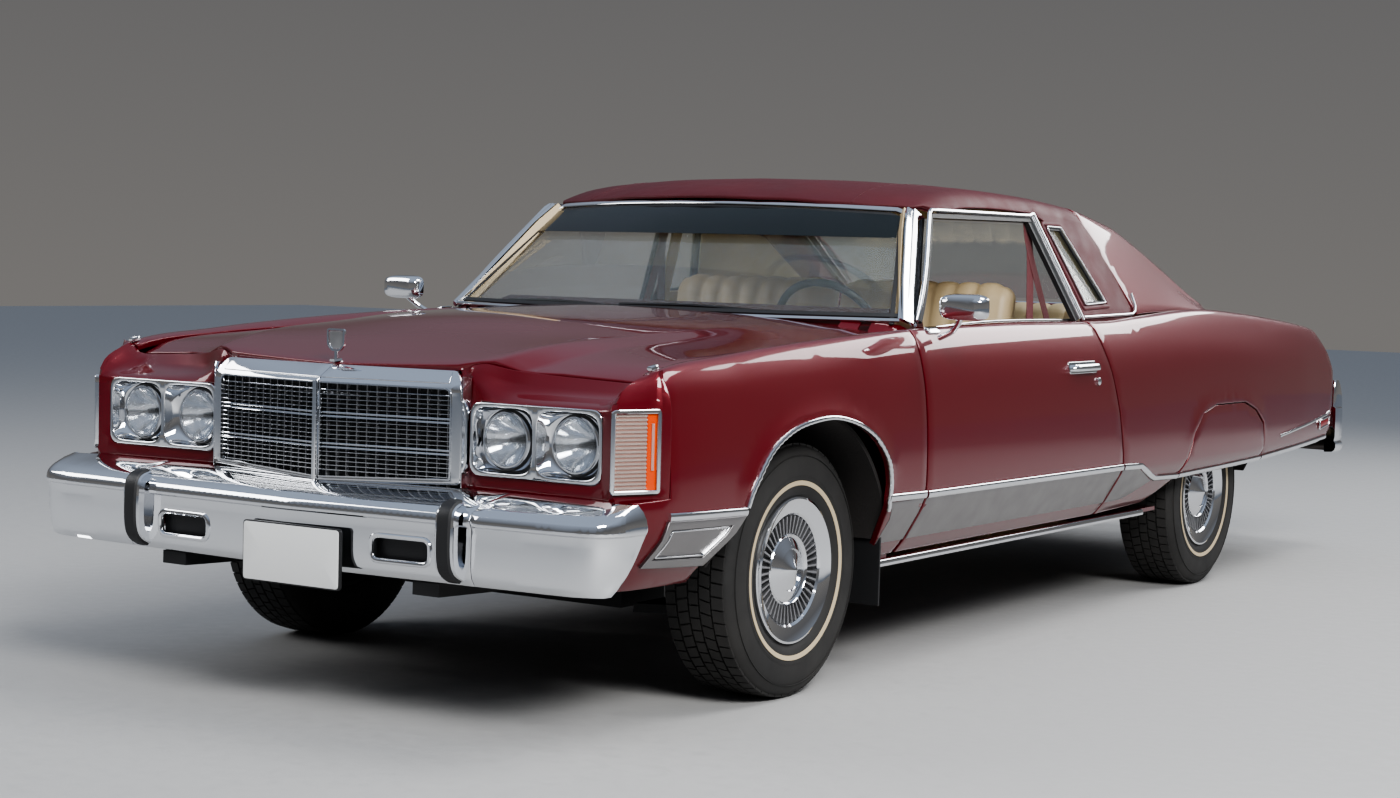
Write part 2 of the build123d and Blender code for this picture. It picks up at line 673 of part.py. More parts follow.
def rear_deck():
    """Panel between the rear window and the deck lid, with the lid's hinge cradles."""
    panel = block(-845.7, 845.7, 3180, DECK_HINGE_S - 6, 1025, BELT_Z)
    for side in (-1, 1):
        for offset in (-27, 27):
            x = side * DECK_HINGE_X + offset
            cradle = block(x - 9, x + 9, DECK_HINGE_S - 12, DECK_HINGE_S + 4, 1030,
                           DECK_HINGE_Z + 1)
            panel += cradle - x_cylinder(DECK_PIN_RADIUS + RUNNING, x - 12, x + 12,
                                         DECK_HINGE_S, DECK_HINGE_Z)
    return panel


def tail_panel():
    """Painted panel between the quarters, below and beside the deck lid."""
    return side_prism(((4500, 722), (4552, 722), (4540, 560), (4500, 560)), -928, 928)


def tail_lamps():
    """Wide low lamps at both sides of the tail panel."""
    return both(side_prism(((4552, 715), (4566, 715), (4556, 600), (4544, 600)), 420, 838))


def rear_bumper():
    """Bright rear bumper with upright ends."""
    plan = [(960, 4575), (960, 4680), (900, 4722), (480, REAR_END_S - 4), (0, REAR_END_S)]
    plan = plan + [(-x, s) for x, s in reversed(plan[:-1])]
    inner = [(910, 4570), (910, 4670), (880, 4686), (0, REAR_END_S - 46)]
    inner = inner + [(-x, s) for x, s in reversed(inner[:-1])]
    bar = plan_prism(plan, 440, 640) - plan_prism(inner, 400, 610)
    ends = [side_prism(((4592, 630), (4606, 757), (4650, 757), (4700, 690), (4700, 630)),
                       *sorted((side * 905, side * 955))) for side in (-1, 1)]
    return bar + ends[0] + ends[1]


# Running gear

def tyre_corners(x, radius):
    """Corners of the many-sided tyre in a plane across its axle."""
    turns = [2 * pi * i / TYRE_SIDES for i in range(TYRE_SIDES)]
    return [(x, radius * cos(turn), radius * sin(turn)) for turn in turns]


def tyre(x):
    """Tyre as a ring of flat faces, centred at x."""
    half = TYRE_WIDTH / 2
    bead = BEAD_RADIUS / cos(pi / TYRE_SIDES)
    side = ((-92, bead), (-half, 286), (-half + 8, 335), (-half + 26, TYRE_RADIUS - 4),
            (-half + 55, TYRE_RADIUS))
    rings = [tyre_corners(x + w, r) for w, r in side]
    rings += [tyre_corners(x - w, r) for w, r in reversed(side)]
    faces = []
    for ring, after in zip(rings, rings[1:] + rings[:1]):
        for i in range(TYRE_SIDES):
            j = (i + 1) % TYRE_SIDES
            faces.append(Face(Wire.make_polygon([ring[i], ring[j], after[j], after[i]])))
    return Solid(Shell(faces))


def rim(x, side):
    """Wheel with its full cover, outer face towards the side's sign."""
    half = RIM_WIDTH / 2
    edge = BEAD_RADIUS - SEAM
    corners = [(SPINDLE_RADIUS + RUNNING, 10), (HUB_RADIUS, 10), (HUB_RADIUS, 40), (150, 52),
               (170, -half + 12), (edge, -half), (edge, half), (196, half + 9), (188, half + 12),
               (176, half - 6), (120, half - 24), (70, half - 6), (SPINDLE_RADIUS + RUNNING, half)]
    line = Polyline(*[(x + side * w, 0, r) for r, w in corners], close=True)
    return revolve(make_face(line.edges()), axis=Axis.X)


def wheel_pair(place_x, place_s, side):
    """Tyre and wheel of one corner of the car."""
    move = Pos(0, place_s, WHEEL_CENTRE_Z)
    return move * tyre(side * place_x), move * rim(side * place_x, side)


KINGPIN_X = FRONT_TRACK / 2 - KINGPIN_INSET
BALL_LOW_Z = 240
BALL_HIGH_Z = 478


def knuckle():
    """Left front knuckle: upright, spindle and brake disc."""
    post = z_cylinder(20, KINGPIN_X, 0, BALL_LOW_Z, BALL_HIGH_Z)
    spindle = x_cylinder(SPINDLE_RADIUS, KINGPIN_X, FRONT_TRACK / 2 + 70, 0, WHEEL_CENTRE_Z)
    collar = x_cylinder(44, KINGPIN_X, FRONT_TRACK / 2 + 5, 0, WHEEL_CENTRE_Z)
    disc = x_cylinder(BRAKE_RADIUS, KINGPIN_X + 26, KINGPIN_X + 46, 0, WHEEL_CENTRE_Z)
    return post + spindle + collar + disc


def front_suspension():
    """Left control arms between the frame and the knuckle's ball joints."""
    low = plan_prism(((480, -150), (480, 150), (KINGPIN_X + 22, 24), (KINGPIN_X + 22, -24)),
                     BALL_LOW_Z - 26, BALL_LOW_Z - RUNNING)
    high = plan_prism(((489, -90), (489, 90), (KINGPIN_X + 22, 20), (KINGPIN_X + 22, -20)),
                      BALL_HIGH_Z + RUNNING, BALL_HIGH_Z + 22)
    tower = block(470, 489, -100, 100, 420, BALL_HIGH_Z + 60)
    return low, high + tower


def rear_suspension():
    """Left rear leaf spring, clamped on the axle."""
    leaf = side_prism(((2540, 330), (2540, 342), (WHEELBASE - 60, 322), (WHEELBASE + 60, 322),
                       (3820, 360), (3820, 348), (WHEELBASE + 60, 296), (WHEELBASE - 60, 296)),
                      540, 604)
    return leaf + block(540, 604, 2520, 2550, 330, 369.5) + block(540, 604, 3808, 3836, 348, 505.7)


def rear_axle():
    """Live rear axle with its differential; the rear wheels turn on its ends."""
    tube = x_cylinder(38, -REAR_TRACK / 2 + 10, REAR_TRACK / 2 - 10, WHEELBASE, WHEEL_CENTRE_Z)
    ends = x_cylinder(SPINDLE_RADIUS, -REAR_TRACK / 2 - 70, REAR_TRACK / 2 + 70, WHEELBASE,
                      WHEEL_CENTRE_Z)
    housing = x_cylinder(120, -110, 110, WHEELBASE, WHEEL_CENTRE_Z)
    shaft = rod((0, 1051, 345), (0, WHEELBASE - 60, WHEEL_CENTRE_Z), 34)
    return tube + ends + housing + shaft


RAIL_END_S = REAR_END_S - 62
RAIL_SPLIT_S = 3620
RAIL_OUTLINE = (
    (-1030, 350), (-1030, 440), (-500, 440), (380, 400), (560, 337), (2484, 337), (2642, 463),
    (2716, 600), (3480, 600), (3620, 505), (RAIL_END_S, 505), (RAIL_END_S, 455),
    (3640, 455), (3460, 520), (2830, 520), (2720, 430), (2480, 262), (560, 262), (380, 310),
    (-500, 330),
)


def rails():
    """Frame rails with their crossmembers, in front of the trunk and under it."""
    rail = side_prism(RAIL_OUTLINE, 400, 486)
    frame = rail + right_of(rail)
    frame += block(-410, 410, -110, 110, 214, 330)
    frame += block(-410, 410, -640, -590, 330, 400)
    frame += block(-410, 410, 1180, 1260, 262, 300)
    frame += block(-410, 410, 2430, 2480, 262, 312)
    frame += block(-410, 410, 3700, 3760, 455, 505)
    rear = block(-600, 600, RAIL_SPLIT_S, RAIL_END_S + 10, 400, 600)
    return frame - rear, frame & rear


def floor_pan():
    """Floor from the toe board over the axle to the tail."""
    top = cabin_floor_line(0)
    low = [(s, z - FLOOR) for s, z in reversed(top)]
    low = [(s - (FLOOR if z > 560 and s < 600 else 0), z) for s, z in low]
    pan = side_prism(top + low, -CABIN_FLOOR_X, CABIN_FLOOR_X)
    tunnel = ((484, 640), (1060, 430), (2600, 430), (2600, 338), (484, 338))
    pan += side_prism(tunnel, -165, 165)
    hollow = ((470, 200), (470, 626), (1057, 416), (2600, 416), (2640, 200))
    pan -= side_prism(hollow, -151, 151)
    for side in (-1, 1):
        span = sorted((side * (REAR_HOUSE_INNER_X - SHELL), side * 1100))
        pan -= x_cylinder(REAR_HOUSE_RADIUS + SHELL, *span, WHEELBASE, WHEEL_CENTRE_Z)
    shelf = block(-780, 780, 3010, 3380, 1010, 1024)
    bulkhead = block(-626, 626, BULKHEAD_S, BULKHEAD_S + 20, 640, 1024)
    return pan + bulkhead + shelf


def wheelhouse(place_s, place_z, radius, inner_x):
    """Left wheel housing, a half round shell closed inboard."""
    outer = x_cylinder(radius + SHELL, inner_x - SHELL, HOUSE_OUTER_X, place_s, place_z)
    inner = x_cylinder(radius, inner_x, HOUSE_OUTER_X + 10, place_s, place_z)
    shell = outer - inner
    return shell & block(0, 1100, place_s - 600, place_s + 600, place_z + 60, 1100)


def engine():
    """Engine and gearbox as plain blocks."""
    body = block(-270, 270, -380, 330, 330.5, 830) + block(-60, 60, -440, -380, 380, 700)
    gearbox = side_prism(((330, 330), (330, 620), (470, 560), (1050, 400), (1050, 300),
                          (480, 300)), -130, 130)
    return body + gearbox


def radiator():
    """Radiator behind the grille, on the front crossmember."""
    return block(-380, 380, -640, -570, 400, 880)


def exhaust():
    """Exhaust pipe with its silencer."""
    route = ((200, 180, 345), (200, 480, 232), (200, 2520, 232), (330, 2830, 455), (330, 3500, 440),
             (330, 3780, 412), (330, 4700, 400))
    pipe = Pos(200, 2150, 240) * Rot(90, 0, 0) * Cylinder(70, 500)
    for start, end in zip(route, route[1:]):
        pipe += rod(start, end, 25) + Pos(*end) * Sphere(25)
    return pipe


def fuel_tank():
    """Fuel tank under the trunk floor."""
    return block(-380, 280, 3800, 4400, 300, 505.7)


# Cabin

def dashboard():
    """Dashboard with the steering column's shroud."""
    return side_prism(((751.3, 935), (751.3, 1040), (900, 1078), (960, 1060), (1000, 960),
                       (960, 760), (880, 700), (800, 700)), -790, 790)


WHEEL_HUB = (395, 1075, 985)
COLUMN_LEAN = 28
STEERING_RADIUS = 190


def steering_column():
    """Column tube from the dashboard towards the steering wheel."""
    length = 240
    place = Pos(*WHEEL_HUB) * Rot(90 + COLUMN_LEAN, 0, 0)
    return place * Pos(0, 0, 26 + RUNNING + length / 2) * Cylinder(34, length)


def steering_wheel():
    """Steering wheel with its two spokes."""
    ring = Torus(STEERING_RADIUS, 13)
    hub = Cylinder(52, 52)
    spokes = Box(2 * STEERING_RADIUS - 10, 44, 16)
    return Pos(*WHEEL_HUB) * Rot(90 + COLUMN_LEAN, 0, 0) * (ring + hub + spokes)


def front_seat():
    """Front bench: one cushion, two backs."""
    cushion = side_prism(((1180, 352.3), (1160, 600), (1220, 640), (1700, 600), (1760, 352.3)),
                         -690, 690)
    backs = [side_prism(((1640, 560), (1780, 1140), (1860, 1146), (1900, 1120), (1800, 430),
                         (1700, 430)), *span) for span in ((-690, -15), (15, 690))]
    tunnel = block(-175, 175, 1000, 2000, 300, 440)
    return cushion + backs[0] + backs[1] - tunnel


def rear_seat():
    """Rear bench: cushion and back."""
    line = [(s - SEAM, z + SEAM) for s, z in cabin_floor_line(0)[5:2:-1]]
    outline = [(2320, line[-1][1]), (2290, 600), (2350, 660), (2790, 656), (2900, 1060),
               (2980, 1070), (BULKHEAD_S - SEAM, 1020), (BULKHEAD_S - SEAM, line[0][1])]
    tunnel = block(-175, 175, 2200, 2610, 300, 440)
    return side_prism(outline + line, -620, 620) - tunnel


def hood_ornament():
    """Plain upright blade on a round foot, at the front of the hood."""
    foot = z_cylinder(16, 0, -845, 925, 946)
    blade = block(-3, 3, -862, -832, 940, 992)
    blade += block(-16, 16, -850, -844, 955, 1000)
    return foot + blade


def build():
    """All nodes of the car by name."""
    trim = inside_side(PANEL)
    panels = fender()
    side = quarter()
    house_front = wheelhouse(FRONT_ARCH_S, FRONT_ARCH_Z, FRONT_ARCH_RADIUS, HOUSE_INNER_X)
    house_rear = wheelhouse(WHEELBASE, WHEEL_CENTRE_Z, REAR_HOUSE_RADIUS, REAR_HOUSE_INNER_X)
    house_rear = (house_rear & trim) - side - skirt()
    house_front = (house_front & trim) - panels - block(480, 520, -110, 110, 400, 530)
    flap = block(780, 950, 434, 442, 215, 420) - house_front - panels
    windshield = glass_between(front_prism(WINDSHIELD_OUTLINE, 300, 1110))
    rear_window = glass_between(front_prism(REAR_WINDOW_OUTLINE, 2452, 3500))
    opera = glass_between(side_prism(OPERA_OUTLINE, 700, 1000))
    lamps = headlamps()
    plates = number_plates()
    low_arm, high_arm = front_suspension()
    leaf = rear_suspension() - rear_axle()
    handle, lock, mirror_head = door_fittings()
    left_door = door()
    fittings = pack(handle - left_door, lock - left_door, mirror_head - left_door)
    bumper = front_bumper()
    frame, rear_frame = rails()
    frame -= bumper
    floor = floor_pan() - frame - rear_frame
    motor = engine() - frame
    axle = rear_axle()
    column = steering_column()
    dash = dashboard() + column
    left_knuckle = knuckle()
    ornament = hood_ornament()
    lid = hood()

    nodes = {
        "frame_rails": frame,
        "rear_frame_rails": rear_frame,
        "floor_pan": floor,
        "engine_block": motor,
        "radiator": radiator() - frame,
        "cowl": cowl(),
        "hinge_pillars": both(hinge_pillar()),
        "wheelhouses": pack(both(house_front), both(house_rear)),
        "mud_flaps": both(flap),
        "fender_left": panels,
        "fender_right": right_of(panels),
        "header_panel": header_panel(),
        "grille": grille(),
        "headlamp_bezels": both(headlamp_bezel()),
        "headlamps": both(lamps),
        "corner_lamps": both(corner_lamp()),
        "front_bumper": bumper,
        "bumper_guards": bumper_guards() - bumper,
        "number_plates": pack(plates[0] - bumper, plates[1]),
        "roof": roof() - side - right_of(side),
        "windshield": windshield,
        "rear_window": rear_window,
        "quarter_windows": both(opera),
        "quarter_left": side,
        "quarter_right": right_of(side),
        "wheel_skirts": both(skirt()),
        "rockers": both(rocker()),
        "tail_panel": tail_panel() - side - right_of(side),
        "rear_deck": rear_deck() - side - right_of(side),
        "tail_lamps": tail_lamps(),
        "rear_bumper": rear_bumper(),
        "dashboard": dash,
        "front_seat": front_seat(),
        "rear_seat": rear_seat(),
        "rear_axle": axle,
        "suspension": pack(both(low_arm - frame), both(high_arm - frame), both(leaf)),
        "exhaust": exhaust() - motor,
        "fuel_tank": fuel_tank(),
        "door_left": left_door,
        "door_right": right_of(left_door),
        "door_fittings_left": fittings,
        "door_fittings_right": right_of(fittings),
        "hood": lid,
        "hood_ornament": ornament - lid,
        "deck_lid": deck_lid(),
        "steering_wheel": steering_wheel(),
        "knuckle_left": left_knuckle,
        "knuckle_right": right_of(left_knuckle),
    }
    corners = (("front", FRONT_TRACK / 2, 0), ("rear", REAR_TRACK / 2, WHEELBASE))
    for name, place_x, place_s in corners:
        for side_name, side_sign in (("left", 1), ("right", -1)):
            rubber, metal = wheel_pair(place_x, place_s, side_sign)
            nodes[f"tyre_{name}_{side_name}"] = rubber
            nodes[f"wheel_{name}_{side_name}"] = metal
    return nodes


MIDDLE_S = (WHEELBASE + REAR_OVERHANG - FRONT_OVERHANG) / 2

os.makedirs("parts", exist_ok=True)
for node_name, shape in build().items():
    placed = Pos(0, -MIDDLE_S, 0) * shape
    export_step(placed, f"parts/{node_name}.step")
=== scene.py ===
"""Looks of a full-size two-door hardtop car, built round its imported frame."""

import math

import bmesh
import bpy
from mathutils import Matrix, Vector
from mathutils.geometry import delaunay_2d_cdt


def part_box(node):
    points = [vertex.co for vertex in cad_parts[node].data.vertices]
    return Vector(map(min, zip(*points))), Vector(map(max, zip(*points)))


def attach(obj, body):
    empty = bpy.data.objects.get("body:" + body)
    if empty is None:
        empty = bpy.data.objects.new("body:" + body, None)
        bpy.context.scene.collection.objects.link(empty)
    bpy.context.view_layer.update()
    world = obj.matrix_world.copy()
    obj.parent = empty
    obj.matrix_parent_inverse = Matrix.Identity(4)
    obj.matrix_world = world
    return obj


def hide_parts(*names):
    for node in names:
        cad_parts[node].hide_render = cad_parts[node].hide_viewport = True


bl_info = {
    "name": "Two-door hardtop car",
    "version": (1, 0, 0),
    "blender": (4, 5, 0),
    "location": "3D View > Sidebar > Car",
    "description": "Finish, trim and interior of a full-size two-door hardtop car",
    "category": "Object",
}

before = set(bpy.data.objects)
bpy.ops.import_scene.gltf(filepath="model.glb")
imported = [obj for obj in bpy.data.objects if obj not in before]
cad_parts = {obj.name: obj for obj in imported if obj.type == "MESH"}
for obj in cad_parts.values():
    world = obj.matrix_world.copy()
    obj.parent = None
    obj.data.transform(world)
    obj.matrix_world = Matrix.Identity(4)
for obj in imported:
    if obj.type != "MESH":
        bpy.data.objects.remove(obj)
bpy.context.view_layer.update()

# Sizes inside the functions are millimetres: x to the car's left, s rearwards from the
# front axle, z up from the ground.
MM = 0.001


def middle_of(node):
    """Middle of a frame node's box, in metres."""
    low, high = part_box(node)
    return (low + high) / 2


AXLE = middle_of("wheel_front_left")


def place(x, s, z):
    """Point of the frame, in metres, for car coordinates in millimetres."""
    return Vector((x * MM, AXLE.y + s * MM, z * MM))


# Forms: corners and faces before they become a mesh

class Form:
    """Corners in car coordinates and the faces that join them."""

    def __init__(self, corners=(), faces=()):
        self.corners = [Vector(c) for c in corners]
        self.faces = [tuple(f) for f in faces]

    def add(self, other):
        """Takes in another form."""
        start = len(self.corners)
        self.corners += other.corners
        self.faces += [tuple(i + start for i in f) for f in other.faces]
        return self

    def moved(self, matrix):
        """The form after a turn and a move."""
        return Form([matrix @ c for c in self.corners], self.faces)

    def mirrored(self):
        """The form on the car's other side."""
        return Form([(-c.x, c.y, c.z) for c in self.corners], [f[::-1] for f in self.faces])

    def with_mirror(self):
        """The form and its mirror image."""
        return Form(self.corners, self.faces).add(self.mirrored())


def joined(forms):
    """One form of several."""
    whole = Form()
    for form in forms:
        whole.add(form)
    return whole


def grid_form(rows, closed_u=False, closed_v=False):
    """Quads between rows of points; u runs along a row, v from row to row."""
    wide, high = len(rows[0]), len(rows)
    faces = []
    for v in range(high if closed_v else high - 1):
        for u in range(wide if closed_u else wide - 1):
            a, b = v * wide + u, v * wide + (u + 1) % wide
            c, d = ((v + 1) % high) * wide + (u + 1) % wide, ((v + 1) % high) * wide + u
            faces.append((a, b, c, d))
    return Form([p for row in rows for p in row], faces)


def tube_form(rows):
    """Closed skin of rings, with both ends capped."""
    form = grid_form(rows, closed_u=True)
    wide = len(rows[0])
    form.faces.append(tuple(range(wide))[::-1])
    form.faces.append(tuple(range(len(rows) * wide - wide, len(rows) * wide)))
    return form


def smooth_row(rows, at):
    """Values of a table at a place, on a smooth curve through its rows."""
    if at <= rows[0][0]:
        return list(rows[0][1:])
    if at >= rows[-1][0]:
        return list(rows[-1][1:])
    index = max(i for i, row in enumerate(rows[:-1]) if row[0] <= at)
    a, b = rows[index], rows[index + 1]
    before, after = rows[max(index - 1, 0)], rows[min(index + 2, len(rows) - 1)]
    span = b[0] - a[0]
    k = (at - a[0]) / span
    found = []
    for p, q, r, t in zip(before[1:], a[1:], b[1:], after[1:]):
        start = (r - p) / (b[0] - before[0]) * span
        end = (t - q) / (after[0] - a[0]) * span
        found.append((2 * k ** 3 - 3 * k ** 2 + 1) * q + (k ** 3 - 2 * k ** 2 + k) * start
                     + (3 * k ** 2 - 2 * k ** 3) * r + (k ** 3 - k ** 2) * end)
    return found


def rounded(knots, at):
    """Values on straight runs between knots; each knot's last value is its rounding."""
    last = len(knots) - 1
    index = 0
    while index < last - 1 and at > knots[index + 1][0]:
        index += 1
    a = knots[index]

    def slope(i):
        run = knots[i + 1][0] - knots[i][0]
        return [(q - p) / run for p, q in zip(knots[i][1:-1], knots[i + 1][1:-1])]

    here = slope(index)
    values = [p + k * (at - a[0]) for p, k in zip(a[1:-1], here)]
    for i in (index, index + 1):
        if not 0 < i < last:
            continue
        knot = knots[i]
        reach = min(knot[-1], (knot[0] - knots[i - 1][0]) / 2, (knots[i + 1][0] - knot[0]) / 2)
        if reach > 0 and abs(at - knot[0]) < reach:
            left, right = slope(i - 1), slope(i)
            values = [p + l * (at - knot[0]) + (r - l) * (at - knot[0] + reach) ** 2 / (4 * reach)
                      for p, l, r in zip(knot[1:-1], left, right)]
    return values


def curve_through(points, parts):
    """Smooth line through points, with a number of runs between each pair."""
    points = [Vector(p) for p in points]
    last = len(points) - 1
    found = []
    for i in range(last):
        a, b, c, d = (points[min(max(i + k, 0), last)] for k in (-1, 0, 1, 2))
        for part in range(parts):
            k = part / parts
            found.append(0.5 * (2 * b + (c - a) * k + (2 * a - 5 * b + 4 * c - d) * k ** 2
                                + (3 * b - a - 3 * c + d) * k ** 3))
    return found + points[-1:]


def round_corners(points, radius, steps=4):
    """Closed outline with its corners turned into short arcs."""
    points = [Vector(p) for p in points]
    found = []
    for i, point in enumerate(points):
        back, ahead = points[i - 1] - point, points[(i + 1) % len(points)] - point
        reach = min(radius, back.length * 0.48, ahead.length * 0.48)
        start, end = point + back.normalized() * reach, point + ahead.normalized() * reach
        for step in range(steps + 1):
            k = step / steps
            found.append(start * (1 - k) ** 2 + point * 2 * k * (1 - k) + end * k ** 2)
    return found


def even_line(points, pitch, closed=False):
    """The same line with more points, so that no run is longer than the pitch."""
    found = []
    ends = points + points[:1] if closed else points
    for a, b in zip(ends, ends[1:]):
        a, b = Vector(a), Vector(b)
        parts = max(1, math.ceil((b - a).length / pitch))
        found += [a.lerp(b, part / parts) for part in range(parts)]
    if not closed:
        found.append(Vector(points[-1]))
    return found


def sweep(path, profile, out):
    """Profile carried along a path; out gives the direction of the profile's first axis."""
    path = [Vector(p) for p in path]
    rows = []
    for i, point in enumerate(path):
        along = (path[min(i + 1, len(path) - 1)] - path[max(i - 1, 0)]).normalized()
        first = Vector(out(point) if callable(out) else out)
        first = (first - along * first.dot(along)).normalized()
        second = along.cross(first)
        rows.append([point + first * a + second * b for a, b in profile])
    return tube_form(rows)


def ring_profile(radius, count=8):
    """Round section of a rod."""
    return [(radius * math.cos(a), radius * math.sin(a))
            for a in (math.tau * i / count for i in range(count))]


def flat_bar(low, high, half):
    """Section of a flat bar between two depths, with half its width."""
    return [(low, -half), (high, -half), (high, half), (low, half)]


def lathe(profile, centre, side=1, steps=64):
    """Closed ring or disc turned about a line across the car; profile rows are radius and x."""
    rows = [[(centre[0] + side * x, centre[1] + r * math.cos(angle),
              centre[2] + r * math.sin(angle)) for r, x in profile]
            for angle in (math.tau * step / steps for step in range(steps))]
    return grid_form(rows, closed_u=True, closed_v=True)


BLOCK_FACES = ((3, 2, 1, 0), (4, 5, 6, 7), (0, 1, 5, 4), (1, 2, 6, 5), (2, 3, 7, 6), (3, 0, 4, 7))


def block_form(low, high):
    """Plain block between two corners."""
    (a, b, c), (d, e, f) = low, high
    return Form([(x, y, z) for z in (c, f) for x, y in ((a, b), (d, b), (d, e), (a, e))],
                BLOCK_FACES)


def rectangle(low_u, low_v, high_u, high_v):
    """Corners of an upright rectangle, anticlockwise."""
    return [(low_u, low_v), (high_u, low_v), (high_u, high_v), (low_u, high_v)]


def inside(outline, u, v):
    """True where a point lies within a closed outline."""
    found = False
    for (au, av), (bu, bv) in zip(outline, outline[1:] + outline[:1]):
        if (av > v) != (bv > v) and u < (bu - au) * (v - av) / (bv - av) + au:
            found = not found
    return found


def near_line(outline, u, v, reach):
    """True where a point lies within reach of a closed outline."""
    point = Vector((u, v))
    for a, b in zip(outline, outline[1:] + outline[:1]):
        run = b - a
        k = max(0, min(1, (point - a).dot(run) / max(run.length_squared, 1e-9)))
        if (point - a - run * k).length < reach:
            return True
    return False


def signed_area(outline):
    """Area of a flat outline, positive where it runs anticlockwise."""
    return sum(a.x * b.y - b.x * a.y for a, b in zip(outline, outline[1:] + outline[:1])) / 2


def pulled_in(outline, distance):
    """Anticlockwise outline moved inwards at every corner."""
    found = []
    for i, point in enumerate(outline):
        back = (point - outline[i - 1]).normalized()
        ahead = (outline[(i + 1) % len(outline)] - point).normalized()
        normal = Vector((-back.y - ahead.y, back.x + ahead.x))
        if normal.length < 1e-6:
            normal = Vector((-back.y, back.x))
        normal.normalize()
        spread = max(0.5, normal.dot(Vector((-ahead.y, ahead.x))))
        found.append(point + normal * distance / spread)
    return found


def surface_normal(surface, u, v):
    """Direction square to a surface at (u, v)."""
    du = Vector(surface(u + 1, v)) - Vector(surface(u - 1, v))
    dv = Vector(surface(u, v + 1)) - Vector(surface(u, v - 1))
    return du.cross(dv).normalized()


def trim(surface, line, out, profile, closed=False, pitch=25, lift=0):
    """Strip that follows a line of (u, v) on a surface; the profile's first axis points out."""
    line = even_line(line, pitch, closed)
    places = [Vector(surface(*p)) for p in line]
    rows = []
    for i, (p, point) in enumerate(zip(line, places)):
        if closed:
            ahead, back = places[(i + 1) % len(line)], places[i - 1]
        else:
            ahead, back = places[min(i + 1, len(line) - 1)], places[max(i - 1, 0)]
        along = (ahead - back).normalized()
        normal = surface_normal(surface, *p)
        if normal.dot(Vector(out)) < 0:
            normal = -normal
        normal = (normal - along * normal.dot(along)).normalized()
        across = along.cross(normal)
        rows.append([point + normal * (a + lift) + across * b for a, b in profile])
    return grid_form(rows, True, True) if closed else tube_form(rows)


